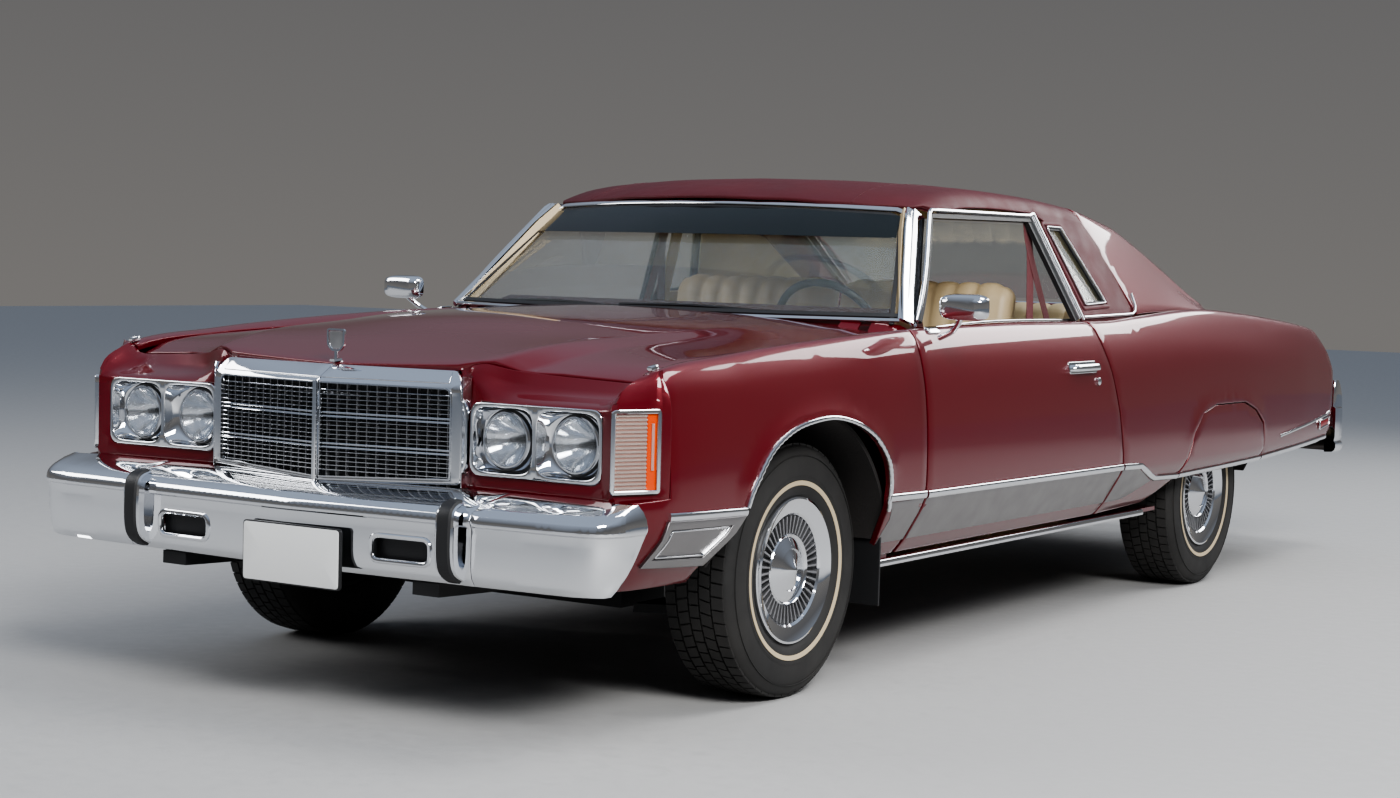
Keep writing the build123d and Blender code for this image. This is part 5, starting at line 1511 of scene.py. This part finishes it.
class CAR_OT_windows(bpy.types.Operator):
    """Builds window frames, pillars and the sun band"""
    bl_idname = "car.windows"
    bl_label = "Window frames"
    bl_options = {"REGISTER", "UNDO"}

    def execute(self, context):
        """Bright frames and black rubber round every window."""
        ahead = (0.2, -1, 0.6)
        frames, seals = Form(), Form()
        top = [(u, 1386 + 17 * (1 - (u / 1000) ** 2)) for u in range(-940, 941, 94)]
        side = [(990, 1048), (990, 1200), (988, 1350), (975, 1378)]
        loop = side + top[::-1] + [(-u, z) for u, z in reversed(side)]
        frames.add(trim(screen_at, loop, ahead, half_round(20, 7), pitch=40, lift=3))
        seals.add(trim(screen_at, [(u * 0.972, z - 12) for u, z in loop], ahead, flat_bar(-3, 2, 7),
                       pitch=40, lift=1))
        base = [(u, 1046) for u in range(-985, 986, 197)]
        frames.add(trim(screen_at, base, ahead, half_round(14, 6), pitch=40, lift=2))
        seals.add(trim(screen_at, [(u, 1062) for u, _ in base], ahead, flat_bar(-3, 2, 8), pitch=40,
                       lift=1))
        pillar = [Vector(p) for p in ((873, 705, 1040), (812, 812, 1160), (736, 960, 1325),
                                      (704, 1030, 1385))]
        post = sweep(pillar, [(0, -21), (9, -21), (12, -17), (12, 17), (9, 21), (0, 21)],
                     (0.80, -0.55, 0.25))
        frames.add(post.with_mirror())
        door = [(742, 1046), (852, 1162), (996, 1321), (1049, 1379)]
        middle = [(p + Vector((side_glass_x(s, z), s, z))) / 2 for p, (s, z) in zip(pillar, door)]
        filler = sweep(middle, flat_bar(-6, 1, 24), (0.93, -0.30, 0.22))
        frames.add(filler.with_mirror())
        core = sweep([p + Vector((-16, 12, -4)) for p in pillar],
                     [(12, -24), (12, 24), (-22, 20), (-22, -20)], (0.80, -0.55, 0.25))
        body_pair("pillar_cores", core, "vinyl", "hide")
        for sign in (1, -1):
            side_frame, side_seal = self.side_frames(sign)
            frames.add(side_frame)
            seals.add(side_seal)
        loop = [(u, 1390 + 8 * (1 - (u / 1000) ** 2)) for u in range(-930, 931, 93)]
        loop = ([(975, 1070), (982, 1200), (975, 1360)] + loop[::-1]
                + [(-975, 1360), (-982, 1200), (-975, 1070)])
        base = [(u, 1068) for u in range(-970, 971, 194)]
        for line in (loop, base):
            frames.add(trim(backlight_at, line, (0, 1, 0.6), half_round(16, 6), pitch=40, lift=2))
        piece("window_frames", frames, "body", "brushed_trim", "chrome")
        piece("window_seals", seals, "body", "rubber")
        band = panel(lambda u, z: Vector(screen_at(u, z)) + Vector((0, -3.2, 1.6)),
                     [(-950, 1300), (950, 1300), (956, 1372), (500, 1387), (0, 1391), (-500, 1387),
                      (-956, 1372)], ahead, 1, 50, 0.3)
        piece("sun_band", band, "body", "clear_glass", "band")
        return {"FINISHED"}

    def side_frames(self, sign):
        """Frames of the door window, its rear post and the quarter window on one side."""
        out = (sign, 0, 0.3)

        def at(s, z):
            return sign * side_glass_x(s, z), s, z
        frames, seals = Form(), Form()
        door = [(742, 1046), (1052, 1380), (1070, 1391), (1800, 1393), (1838, 1400)]
        frames.add(trim(at, door, out, half_round(14, 8), pitch=60, lift=3))
        frames.add(trim(at, [(1838, 1404), (1928, 1040)], out, half_round(15, 8), pitch=60, lift=3))
        frames.add(trim(at, [(1812, 1392), (1898, 1044)], out, half_round(7, 7), pitch=60, lift=2))
        seals.add(trim(at, [(760, 1046), (1064, 1374), (1806, 1381)], out,
                       flat_bar(-9, 2, 8), pitch=60, lift=2))
        seals.add(trim(at, [(1806, 1388), (1896, 1044)], out,
                       rectangle(-14, -34, 2, 26), pitch=60, lift=-1))
        opera = round_corners([(2000, 1092), (1915, 1360), (2031, 1359), (2182, 1099)], 9, 3)
        frames.add(trim(at, opera, out, half_round(6, 6), closed=True, pitch=60, lift=2))
        inner = round_corners([(2006, 1098), (1924, 1354), (2027, 1353), (2171, 1104)], 8, 3)
        seals.add(trim(at, inner, out, flat_bar(-6, 1, 4), closed=True, pitch=60))
        edge = [(1942, 1049), (2380, 1057), (2412, 1066), (2436, 1086), (2443, 1130)]
        frames.add(trim(at, edge, out, half_round(10, 6), pitch=60, lift=4))
        return frames, seals


class CAR_OT_trim(bpy.types.Operator):
    """Builds the bright trim of the sides"""
    bl_idname = "car.trim"
    bl_label = "Side trim"
    bl_options = {"REGISTER", "UNDO"}

    def execute(self, context):
        """Arch lips, side strips, brushed panels, moulding boxes and sills."""
        height = context.scene.car_panels.strip / MM
        section = half_round(height, 9)
        lip = trim(flared_at, ARCH_LIP[1:] + [(386, 505)], OUT, half_round(13, 8), pitch=14)
        ahead, behind, door, *rear = [trim(side_at, run, OUT, section, pitch=50) for run in STRIPS]
        box = [(-752, 562), (-410, 553), (-528, 430), (-796, 447)]
        recess = [(-738, 541), (-470, 533), (-551, 455), (-771, 467)]
        raised = panel(offset_side(9), box, OUT, 10, 30, 2, [recess])
        floor = panel(offset_side(3), recess, OUT, 3, 30, 0.5)
        inner = round_corners([(-732, 536), (-482, 529), (-555, 461), (-763, 472)], 3, 2)
        inner = trim(offset_side(4), inner, OUT, half_round(5, 4), True, 30)
        sill = sweep([(893, 470, 326), (893, 2560, 326)], half_round(22, 7), OUT)
        body = joined([lip, ahead, behind, *rear, inner, sill])
        body_pair("side_strips", body, "brushed_trim", "chrome")
        body_pair("moulding_boxes", raised.add(floor), "brushed_trim", "brushed")
        both_sides("door_strip", door, DOORS, "brushed_trim", "chrome")
        top = [(s, side_top(s, 14)) for s in range(640, 1921, 80)]
        both_sides("belt_strip", trim(side_at, top, UP, half_round(9, 6), pitch=80), DOORS,
                   "brushed_trim", "chrome")
        plate = offset_side(1.4)
        fronts = [(386, 528), (410, 502), (430, 474), (430, 398), (600, 398), (599, 526)]
        doors = [(618, 526), (2088, 517), (2090, 398), (620, 398)]
        rears = [(2110, 517), (2260, 512), (2396, 469), (2440, 456), (2330, 420), (2240, 398),
                 (2110, 398)]
        lines = SIDE_LINES[6:]
        for name, shape, bodies in (("brushed_fender", fronts, BODY_SIDES),
                                    ("brushed_door", doors, DOORS),
                                    ("brushed_quarter", rears, BODY_SIDES)):
            both_sides(name, panel(plate, shape, OUT, 2, 45, 0.8, lines=lines), bodies,
                       "brushed_trim", "brushed")
        return {"FINISHED"}


class CAR_OT_bumper(bpy.types.Operator):
    """Builds the front bumper, its slots, the guards and the bare plates"""
    bl_idname = "car.bumper"
    bl_label = "Front bumper"
    bl_options = {"REGISTER", "UNDO"}

    def execute(self, context):
        """Chrome bumper in three parts and what hangs on it, then both plates."""
        pitch = context.scene.car_panels.pitch / MM * 0.5
        slot = round_corners(rectangle(292, 438, 468, 490), 20)
        slots = [[(sign * p.x, p.y) for p in slot] for sign in (-1, 1)]
        parts = Form()
        middle = [(599, 388), (599, 616), (0, 617), (-599, 616), (-599, 388)]
        parts.add(panel(bumper_at, middle, AHEAD, 8, pitch, 1.5, slots, BUMPER_LINES))
        end = [(601, 388), (900, 389), (1134, 393), (1136, 430), (1136, 480), (1136, 538),
               (1136, 560), (1136, 614), (900, 616), (601, 616)]
        rim = round_corners(rectangle(286, 431, 474, 497), 24)
        for sign in (-1, 1):
            parts.add(panel(bumper_at, [(sign * u, z) for u, z in end], AHEAD, 8, pitch, 1.5,
                            lines=BUMPER_LINES))
            parts.add(trim(bumper_at, [(sign * p.x, p.y) for p in rim], AHEAD,
                           [(-3, -6), (3, -6), (5, -3), (5, 3), (2, 6), (-3, 6)], True, 20))
        piece("front_bumper", parts, "body", "chrome", replaces=("front_bumper",))
        dark = [sweep([(sign * x, -1042 + 0.02 * x, 464) for x in (284, 476)],
                      flat_bar(-30, 0, 34), AHEAD_LEVEL) for sign in (-1, 1)]
        piece("bumper_slots", joined(dark), "body", "black_plastic", "black")
        route = curve_through([(548, s, z) for s, z in (
            (-1044, 600), (-1072, 592), (-1088, 574), (-1093, 540), (-1094, 480), (-1088, 440),
            (-1072, 416), (-1044, 400))], 3)
        pad, shoe = (sweep(route, section, lambda p: (0, p.y + 1000, (p.z - 500) * 0.4))
                     for section in (
                         [(-20, -20), (0, -22), (6, -18), (7, 0), (6, 18), (0, 22), (-20, 20)],
                         [(-24, -27), (-2, -29), (0, -26), (0, 26), (-2, 29), (-24, 27)]))
        body_pair("bumper_guards", pad, "rubber", replaces=("bumper_guards",))
        body_pair("guard_plates", shoe, "chrome")
        plates, holders = Form(), Form()
        for low_x, high_x, s, z, high, sign in ((-124, 206, -1096, 349, 152, -1),
                                                (-165, 165, 4763, 480, 150, 1)):
            corners = rectangle(low_x, z, high_x, z + high)
            plates.add(panel(lambda x, v, s=s: (x, s, v), round_corners(corners, 10),
                             (0, sign, 0), 2, 80, 0.8))
            wide = rectangle(low_x - 4, z - 4, high_x + 4, z + high + 4)
            holders.add(panel(lambda x, v, s=s - sign * 2: (x, s, v), round_corners(wide, 12),
                              (0, sign, 0), 10, 80, 1.5))
        piece("number_plates", plates, "body", "plate", replaces=("number_plates",))
        piece("plate_holders", holders, "body", "black_plastic", "black")
        return {"FINISHED"}


def wheel_point(centre, x, radius, angle):
    """Point at a radius and an angle about a wheel's middle."""
    return centre.x + x, centre.y + radius * math.sin(angle), centre.z + radius * math.cos(angle)


class CAR_OT_wheels(bpy.types.Operator):
    """Builds tyres with tread and wheels with finned covers"""
    bl_idname = "car.wheels"
    bl_label = "Wheels"
    bl_options = {"REGISTER", "UNDO"}

    def execute(self, context):
        """Tyre, wheel and cover at each corner of the car."""
        wheels = context.scene.car_wheels
        for corner in ("front_left", "front_right", "rear_left", "rear_right"):
            middle = middle_of("tyre_" + corner)
            centre = Vector((middle.x / MM, (middle.y - AXLE.y) / MM, middle.z / MM))
            side = 1 if centre.x > 0 else -1
            self.tyre(corner, centre, side, wheels.ring / MM, wheels.blocks)
            self.cover(corner, centre, side, wheels.fins)
            barrel = lathe([(196, 90), (200, 94), (200, -100), (190, -100), (176, -70), (60, -20),
                            (40, -20), (40, 20), (150, 50), (188, 70)], centre, side)
            piece("rim_" + corner, barrel, "wheel_" + corner, "dark_metal", "chassis")
        return {"FINISHED"}

    def tyre(self, corner, centre, side, ring, count):
        """Carcass with fine rings, five rows of tread blocks and the cream ring."""
        body = "wheel_" + corner
        half = [(198, 86), (207, 97), (216, 103), (226, 107), (236, 110), (262, 113), (288, 114),
                (312, 112), (330, 108), (342, 101), (350, 92), (352, 84), (352.5, 50)]
        section = half + [(352.5, -50)] + [(r, -x) for r, x in reversed(half[:-1])]
        rubber = lathe(section, centre, side, 96)
        for r in (262, 266, 322):
            fine = [(r - 1, 108), (r - 0.6, 113.4), (r + 0.6, 113.6), (r + 1, 108)]
            rubber.add(lathe(fine, centre, side, 96))
        carcass = clean(new_object("carcass", rubber))
        blocks = Form()
        turn = math.tau / count
        for low_x, high_x, shift, lean in (
                (-92, -58, 0, 0.1), (-52, -20, 0.5, 0.2), (-14, 14, 0.2, 0), (20, 52, 0.7, -0.2),
                (58, 92, 0, -0.1)):
            corners = []
            for radius in (350, 359.6):
                for x, share in ((low_x, shift), (high_x, shift + lean),
                                 (high_x, shift + lean + 0.86), (low_x, shift + 0.86)):
                    drop = max(0, abs(x) - 60) * 0.12 if radius > 355 else 2
                    corners.append(wheel_point(centre, x, radius - drop, turn * share))
            blocks.add(Form(corners, BLOCK_FACES))
        tread = repeated("tread", blocks, count, (turn, 0, 0), "tyre", centre)
        tyre = merged(f"tyre_{corner}_looks", [carcass, clean(tread)])
        finish_piece(tyre, body, "tyre", replaces=("tyre_" + corner,))
        band = [(ring - 7, 109), (ring - 6.4, 111.4), (ring + 6.4, 113.3), (ring + 7, 109.5)]
        piece("ring_" + corner, lathe(band, centre, side, 96), body, "tyre", "cream_ring")

    def cover(self, corner, centre, side, count):
        """Plated cover with a pointed middle, a dark band and the fins that stand in it."""
        body = "wheel_" + corner
        dish = [(60, 96), (92, 82), (96, 84), (99, 88), (102, 84), (101, 76), (152, 76), (154, 88),
                (160, 94), (178, 99), (194, 105), (200, 108), (206, 106), (208, 99), (205, 94),
                (192, 92), (150, 66), (60, 60)]
        cone = [(0.4, 112), (9, 110), (13, 107), (90, 83), (90, 79), (0.4, 96)]
        disc = lathe(dish, centre, side, 88).add(lathe(cone, centre, side))
        face = piece("cover_" + corner, disc, body, "chrome", replaces=("wheel_" + corner,),
                     crease=28)
        face.data.materials.append(FINISH["black"])
        middle = place(*centre)
        for poly in face.data.polygons:
            reach = math.hypot(poly.center.y - middle.y, poly.center.z - middle.z)
            if 0.103 < reach < 0.150 and abs(poly.normal.x) > 0.9:
                poly.material_index = 1
        corners = []
        for share, x in ((0.42, 77), (0.30, 90)):
            half = math.tau / count * share / 2
            for radius, back in ((102, 4), (152, 0)):
                corners += [wheel_point(centre, side * (x - back), radius, angle)
                            for angle in (-half, half)]
        fin = Form(corners, [(0, 1, 3, 2), (4, 6, 7, 5), (0, 4, 5, 1), (2, 3, 7, 6), (0, 2, 6, 4),
                             (1, 5, 7, 3)])
        fins = repeated("fins_" + corner, fin, count, (math.tau / count, 0, 0), "satin", centre)
        finish_piece(clean(fins), body, "chrome")


class CAR_OT_cabin(bpy.types.Operator):
    """Builds seats, carpets and belts"""
    bl_idname = "car.cabin"
    bl_label = "Cabin"
    bl_options = {"REGISTER", "UNDO"}

    def execute(self, context):
        """Everything seen through the glass."""
        seats = context.scene.car_seats
        puff, pleat = seats.puff / MM, seats.pleat / MM
        base = [(1166, 372), (1160, 580), (1196, 640), (1700, 606), (1748, 560), (1748, 372)]
        back = [(1630, 600), (1672, 650), (1782, 1120), (1812, 1150), (1862, 1150), (1890, 1120),
                (1800, 470), (1700, 470)]
        rear_base = [(2300, 372), (2296, 600), (2330, 652), (2760, 600), (2790, 520),
                     (2700, 400)]
        rear_back = [(2700, 620), (2740, 660), (2890, 1050), (2920, 1068), (2970, 1068),
                     (2972, 660)]
        for name, outline, low, high, gone in (
                ("front_cushion", base, -690, 690, ("front_seat",)),
                ("front_back_left", back, 16, 690, ()), ("front_back_right", back, -690, -16, ()),
                ("rear_cushion", rear_base, -620, 620, ("rear_seat",)),
                ("rear_back", rear_back, -620, 620, ())):
            pad = piece(name, cushion(outline, low, high, puff, pleat), "body", "cream_leather",
                        "hide", gone, crease=60)
        fronts = along_rows([(490, 706), (504, 572), (642, 358), (1130, 356)])
        rears = along_rows([(1780, 356), (2290, 356)])
        mats = [panel(lambda x, w, rows=rows: (x, *smooth_row(rows, w)),
                      rectangle(-740, 1, 740, rows[-1][0] - 1), UP, 4, 90, 2)
                for rows in (fronts, rears)]
        piece("carpets", joined(mats), "body", "carpet")
        strips = []
        for foot in ((796, 1742, 1030), (806, 1868, 1030)):
            path = curve_through([(742, 1806, 1368), (762, 1800, 1270), foot], 4)
            strips.append(sweep(path, flat_bar(-0.8, 0.8, 23), (1, 0, 0.3)))
        body_pair("belts", joined(strips), "belt_fabric", "belt")
        return {"FINISHED"}


class CAR_OT_details(bpy.types.Operator):
    """Builds mirrors, handles, wipers and ornaments"""
    bl_idname = "car.details"
    bl_label = "Details"
    bl_options = {"REGISTER", "UNDO"}

    def execute(self, context):
        """Small fittings."""
        head = tube_form([[(x, s, z) for x, z in superellipse((1080, 1096), wide, high, 4)]
                          for s, wide, high in ((642, 50, 20), (646, 64, 30), (656, 73, 36),
                                                (672, 76, 39), (688, 77, 40), (691, 75, 38))])
        arm = sweep(curve_through([(975, 724, 1000), (1024, 712, 1022), (1056, 690, 1050),
                                   (1072, 672, 1072)], 4), ring_profile(9, 12), REAR)
        foot = panel(side_at, round_corners(rectangle(694, 1010, 770, 1046), 12), OUT, 8, 20, 3)
        foot = foot.moved(Matrix.Translation((5, 0, 4)))
        cup = panel(offset_side(3), round_corners(rectangle(1642, 866, 1864, 906), 8), OUT, 6, 30,
                    2)
        grip = curve_through([(992, 1650, 886), (1010, 1658, 887), (1015, 1676, 887),
                              (1016, 1754, 887), (1015, 1832, 887), (1010, 1850, 887),
                              (992, 1857, 886)], 3)
        pull = sweep(grip, [(-4, -9), (2, -11), (5, -7), (6, 0), (5, 7), (2, 11), (-4, 9)], OUT)
        lock = lathe([(0.5, 0), (13, 0), (13, 7), (10, 9), (0.5, 9)], (1001, 1868, 836), 1, 28)
        both_sides("door_fittings", joined([head, arm, foot, cup, pull, lock]), DOORS, "chrome",
                   node="door_fittings")
        pane = panel(lambda x, z: (x, 692, z), round_corners(
            rectangle(1012, 1064, 1148, 1128), 14), REAR, 1, 60, 0.4)
        both_sides("mirror_glass", pane, DOORS, "chrome", "reflector")
        shield = round_corners([(-29, 1007), (29, 1007), (28, 966), (14, 952), (-14, 952),
                                (-28, 966)], 6, 3)

        def ornament_at(x, z):
            return x, -884, z
        ring = trim(ornament_at, shield, AHEAD_LEVEL, flat_bar(-3, 3, 2.5), True, 12)
        stem = sweep([(0, -884, 924), (0, -884, 952)], ring_profile(5, 12), AHEAD_LEVEL)
        foot = sweep([(0, -900, 926), (0, -868, 928)], [(-4, -9), (2, -7), (2, 7), (-4, 9)], UP)
        piece("hood_ornament", joined([ring, stem, foot]), "hood", "chrome",
              replaces=("hood_ornament",))
        blank = panel(ornament_at, [(p.x * 0.86, 978 + (p.y - 978) * 0.86) for p in shield],
                      AHEAD_LEVEL, 2, 12, 0.5)
        piece("ornament_blank", blank, "hood", "chrome", "satin")
        tips = sweep([(919, -748, 938), (919, -716, 944)], [(-4, -9), (9, -7), (9, 7), (-4, 9)], UP)
        body_pair("fender_tips", tips, "chrome", bevel=3)
        blades = []
        for start, end in (((-40, 470, 1062), (-560, 590, 1066)),
                           ((480, 545, 1062), (-30, 476, 1070))):
            middle = (Vector(start) + Vector(end)) / 2 + Vector((0, -10, 8))
            blades.append(sweep(curve_through([start, middle, end], 4),
                                [(-3, -4), (5, -3), (5, 3), (-3, 4)], (0, -0.8, 0.6)))
        piece("wipers", joined(blades), "body", "black_plastic", "black")
        return {"FINISHED"}


class CAR_OT_tail(bpy.types.Operator):
    """Builds the tail lamps, the quarters' closing faces and the rear bumper"""
    bl_idname = "car.tail"
    bl_label = "Tail"
    bl_options = {"REGISTER", "UNDO"}

    def execute(self, context):
        """Framed red lamps between painted ends, and the bar below them."""
        end = [(829, 556)] + [(side_at(s, z)[0] - 3, z) for z, s in TAIL_ROWS[:-1]]
        end += [(side_at(4425, 975)[0] - 6, 975), (829, 975)]
        body_pair("quarter_ends", panel(tail_end_at, end, REAR, 8, 30, 3), "paint")
        plan = [(960, 4574), (960, 4668), (950, 4690), (925, 4706), (890, 4720), (480, 4752),
                (0, 4758)]
        plan += [(-x, s) for x, s in reversed(plan[:-1])]
        bar = sweep([(x, s, 540) for x, s in plan],
                    [(-46, -98), (-8, -100), (-1, -93), (0, -60), (0, 34), (-3, 44), (-3, 52),
                     (4, 60), (5, 78), (0, 90), (-10, 98), (-46, 100)],
                    lambda p: (p.x, p.y - 4420, 0))
        rise = ((4650, 630, 24, 54), (4644, 690, 23, 48), (4634, 735, 21, 34), (4630, 755, 16, 22))
        ends = [tube_form([[(sign * x, s, z)
                            for x, s in superellipse((930, middle), wide, long, 4, 24)]
                           for middle, z, wide, long in rise]) for sign in (-1, 1)]
        piece("rear_bumper", joined([bar, *ends]), "body", "chrome",
              replaces=("rear_bumper",))
        spear = [(3753, 556), (3800, 560), (4180, 590), (4440, 612), (4492, 622)]
        edge = trim(side_at, spear, OUT, half_round(12, 7), pitch=40)
        marker = panel(offset_side(7), [(4330, 560), (4478, 574), (4482, 600), (4334, 588)], OUT,
                       8, 30, 2)
        rim = round_corners([(4327, 556), (4481, 570), (4486, 604), (4331, 592)], 5, 2)
        rim = trim(offset_side(4), rim, OUT, half_round(7, 6), True, 30)
        body_pair("side_marker_lamps", marker, "red_lens", "red")
        body_pair("rear_spears", edge.add(rim), "brushed_trim", "chrome")
        frames, lenses = Form(), Form()
        for sign in (-1, 1):
            def at(x, z):
                return sign * x, 4560 - 6 * (x / 838) ** 2, z
            outline = rectangle(424, 604, 834, 711)
            lenses.add(panel(at, outline, REAR, 16, 60, 3))
            ring = round_corners(rectangle(421, 601, 837, 714), 5, 2)
            frames.add(trim(at, ring, REAR, half_round(8, 6), True, 60))
        piece("tail_lamps", lenses, "body", "red_lens", "red", ("tail_lamps",))
        piece("tail_lamp_frames", frames, "body", "chrome")
        return {"FINISHED"}


# Camera: its place in metres, its yaw, pitch and roll in radians, and its lens in millimetres
CAMERA_AT = (4.247621, AXLE.y - 5.661347, 1.224868)
CAMERA_TURN = (-0.573649, -0.059859, 0.025936)
LENS = 60.86
# Area lights: name, place in metres, width and height, and power
LIGHTS = (("Key", (7.0, -6.0, 6.0), 4.5, 2.5, 950), ("Fill", (-7, -6, 5), 6.0, 3.0, 300),
          ("Top", (3.2, 1.5, 7), 3.5, 3.0, 320), ("Rear", (3, 8, 5), 5.0, 3.0, 300))


class CAR_OT_stage(bpy.types.Operator):
    """Sets floor, light and camera"""
    bl_idname = "car.stage"
    bl_label = "Stage"
    bl_options = {"REGISTER", "UNDO"}

    def execute(self, context):
        """Pale floor, soft studio light and a camera at the photograph's angle."""
        scene = context.scene
        bpy.ops.mesh.primitive_plane_add(size=60, location=(0, 0, 0))
        floor = context.object
        floor.name = "stage_floor"
        floor.data.materials.append(FINISH["floor"])
        world = bpy.data.worlds.new("Studio")
        world.use_nodes = True
        nodes, links = world.node_tree.nodes, world.node_tree.links
        sky = nodes["Background"]
        source = nodes.new("ShaderNodeTexCoord")
        split = nodes.new("ShaderNodeSeparateXYZ")
        ramp = nodes.new("ShaderNodeValToRGB")
        stops = ramp.color_ramp.elements
        stops[0].position, stops[0].color = 0.49, (0.26, 0.25, 0.24, 1)
        stops[1].position, stops[1].color = 0.85, (0.50, 0.58, 0.72, 1)
        low = stops.new(0.60)
        low.color = (0.17, 0.17, 0.175, 1)
        lift = nodes.new("ShaderNodeMath")
        lift.operation = "MULTIPLY_ADD"
        lift.inputs[1].default_value = lift.inputs[2].default_value = 0.5
        links.new(source.outputs["Generated"], split.inputs[0])
        links.new(split.outputs["Z"], lift.inputs[0])
        links.new(lift.outputs[0], ramp.inputs[0])
        links.new(ramp.outputs[0], sky.inputs["Color"])
        sky.inputs["Strength"].default_value = 0.7
        scene.world = world
        scene.view_settings.look = "AgX - Medium High Contrast"
        for name, at, wide, high, power in LIGHTS:
            light = bpy.data.lights.new(name, "AREA")
            light.shape, light.size, light.size_y, light.energy = "RECTANGLE", wide, high, power
            lamp = bpy.data.objects.new(name, light)
            lamp.location = at
            lamp.rotation_euler = (Vector((0, -0.6, 0.6)) - Vector(at)).to_track_quat(
                "-Z", "Y").to_euler()
            scene.collection.objects.link(lamp)
        camera = bpy.data.cameras.new("Camera")
        camera.lens, camera.sensor_width, camera.sensor_fit = LENS, 36, "HORIZONTAL"
        camera.clip_end = 200
        eye = bpy.data.objects.new("Camera", camera)
        yaw, pitch, roll = CAMERA_TURN
        ahead = Vector((math.sin(yaw) * math.cos(pitch), math.cos(yaw) * math.cos(pitch),
                        math.sin(pitch)))
        level = Vector((math.cos(yaw), -math.sin(yaw), 0))
        upright = level.cross(ahead)
        right = math.cos(roll) * level + math.sin(roll) * upright
        up = -math.sin(roll) * level + math.cos(roll) * upright
        turn = Matrix((right, up, -ahead)).transposed().to_4x4()
        eye.matrix_world = Matrix.Translation(CAMERA_AT) @ turn
        scene.collection.objects.link(eye)
        scene.camera = eye
        return {"FINISHED"}


class CAR_PT_panel(bpy.types.Panel):
    """Settings and the groups of the car"""
    bl_label = "Two-door hardtop car"
    bl_idname = "CAR_PT_panel"
    bl_space_type = "VIEW_3D"
    bl_region_type = "UI"
    bl_category = "Car"

    def draw(self, context):
        """Settings first, then one button a group."""
        for key in SETTINGS:
            group, box = getattr(context.scene, key), self.layout.box()
            for name in group.bl_rna.properties.keys():
                if name not in ("rna_type", "name"):
                    box.prop(group, name)
        for operator in OPERATORS:
            self.layout.operator(operator.bl_idname)


SETTINGS = {"car_paint": CarPaint, "car_panels": CarPanels, "car_wheels": CarWheels,
            "car_front": CarFront, "car_seats": CarSeats}
OPERATORS = (CAR_OT_finishes, CAR_OT_sides, CAR_OT_lids, CAR_OT_nose, CAR_OT_grille, CAR_OT_roof,
             CAR_OT_windows, CAR_OT_trim, CAR_OT_bumper, CAR_OT_wheels, CAR_OT_cabin,
             CAR_OT_details, CAR_OT_tail, CAR_OT_stage)


def register():
    """Registers settings, operators and the panel."""
    for group in SETTINGS.values():
        bpy.utils.register_class(group)
    for name, group in SETTINGS.items():
        setattr(bpy.types.Scene, name, bpy.props.PointerProperty(type=group))
    for operator in OPERATORS:
        bpy.utils.register_class(operator)
    bpy.utils.register_class(CAR_PT_panel)


def unregister():
    """Takes everything back out."""
    bpy.utils.unregister_class(CAR_PT_panel)
    for operator in reversed(OPERATORS):
        bpy.utils.unregister_class(operator)
    for name in SETTINGS:
        delattr(bpy.types.Scene, name)
    for group in reversed(list(SETTINGS.values())):
        bpy.utils.unregister_class(group)


def main():
    """Builds the whole car with its operators."""
    register()
    for operator in OPERATORS:
        group, name = operator.bl_idname.split(".")
        getattr(getattr(bpy.ops, group), name)()


if __name__ == "__main__":
    main()
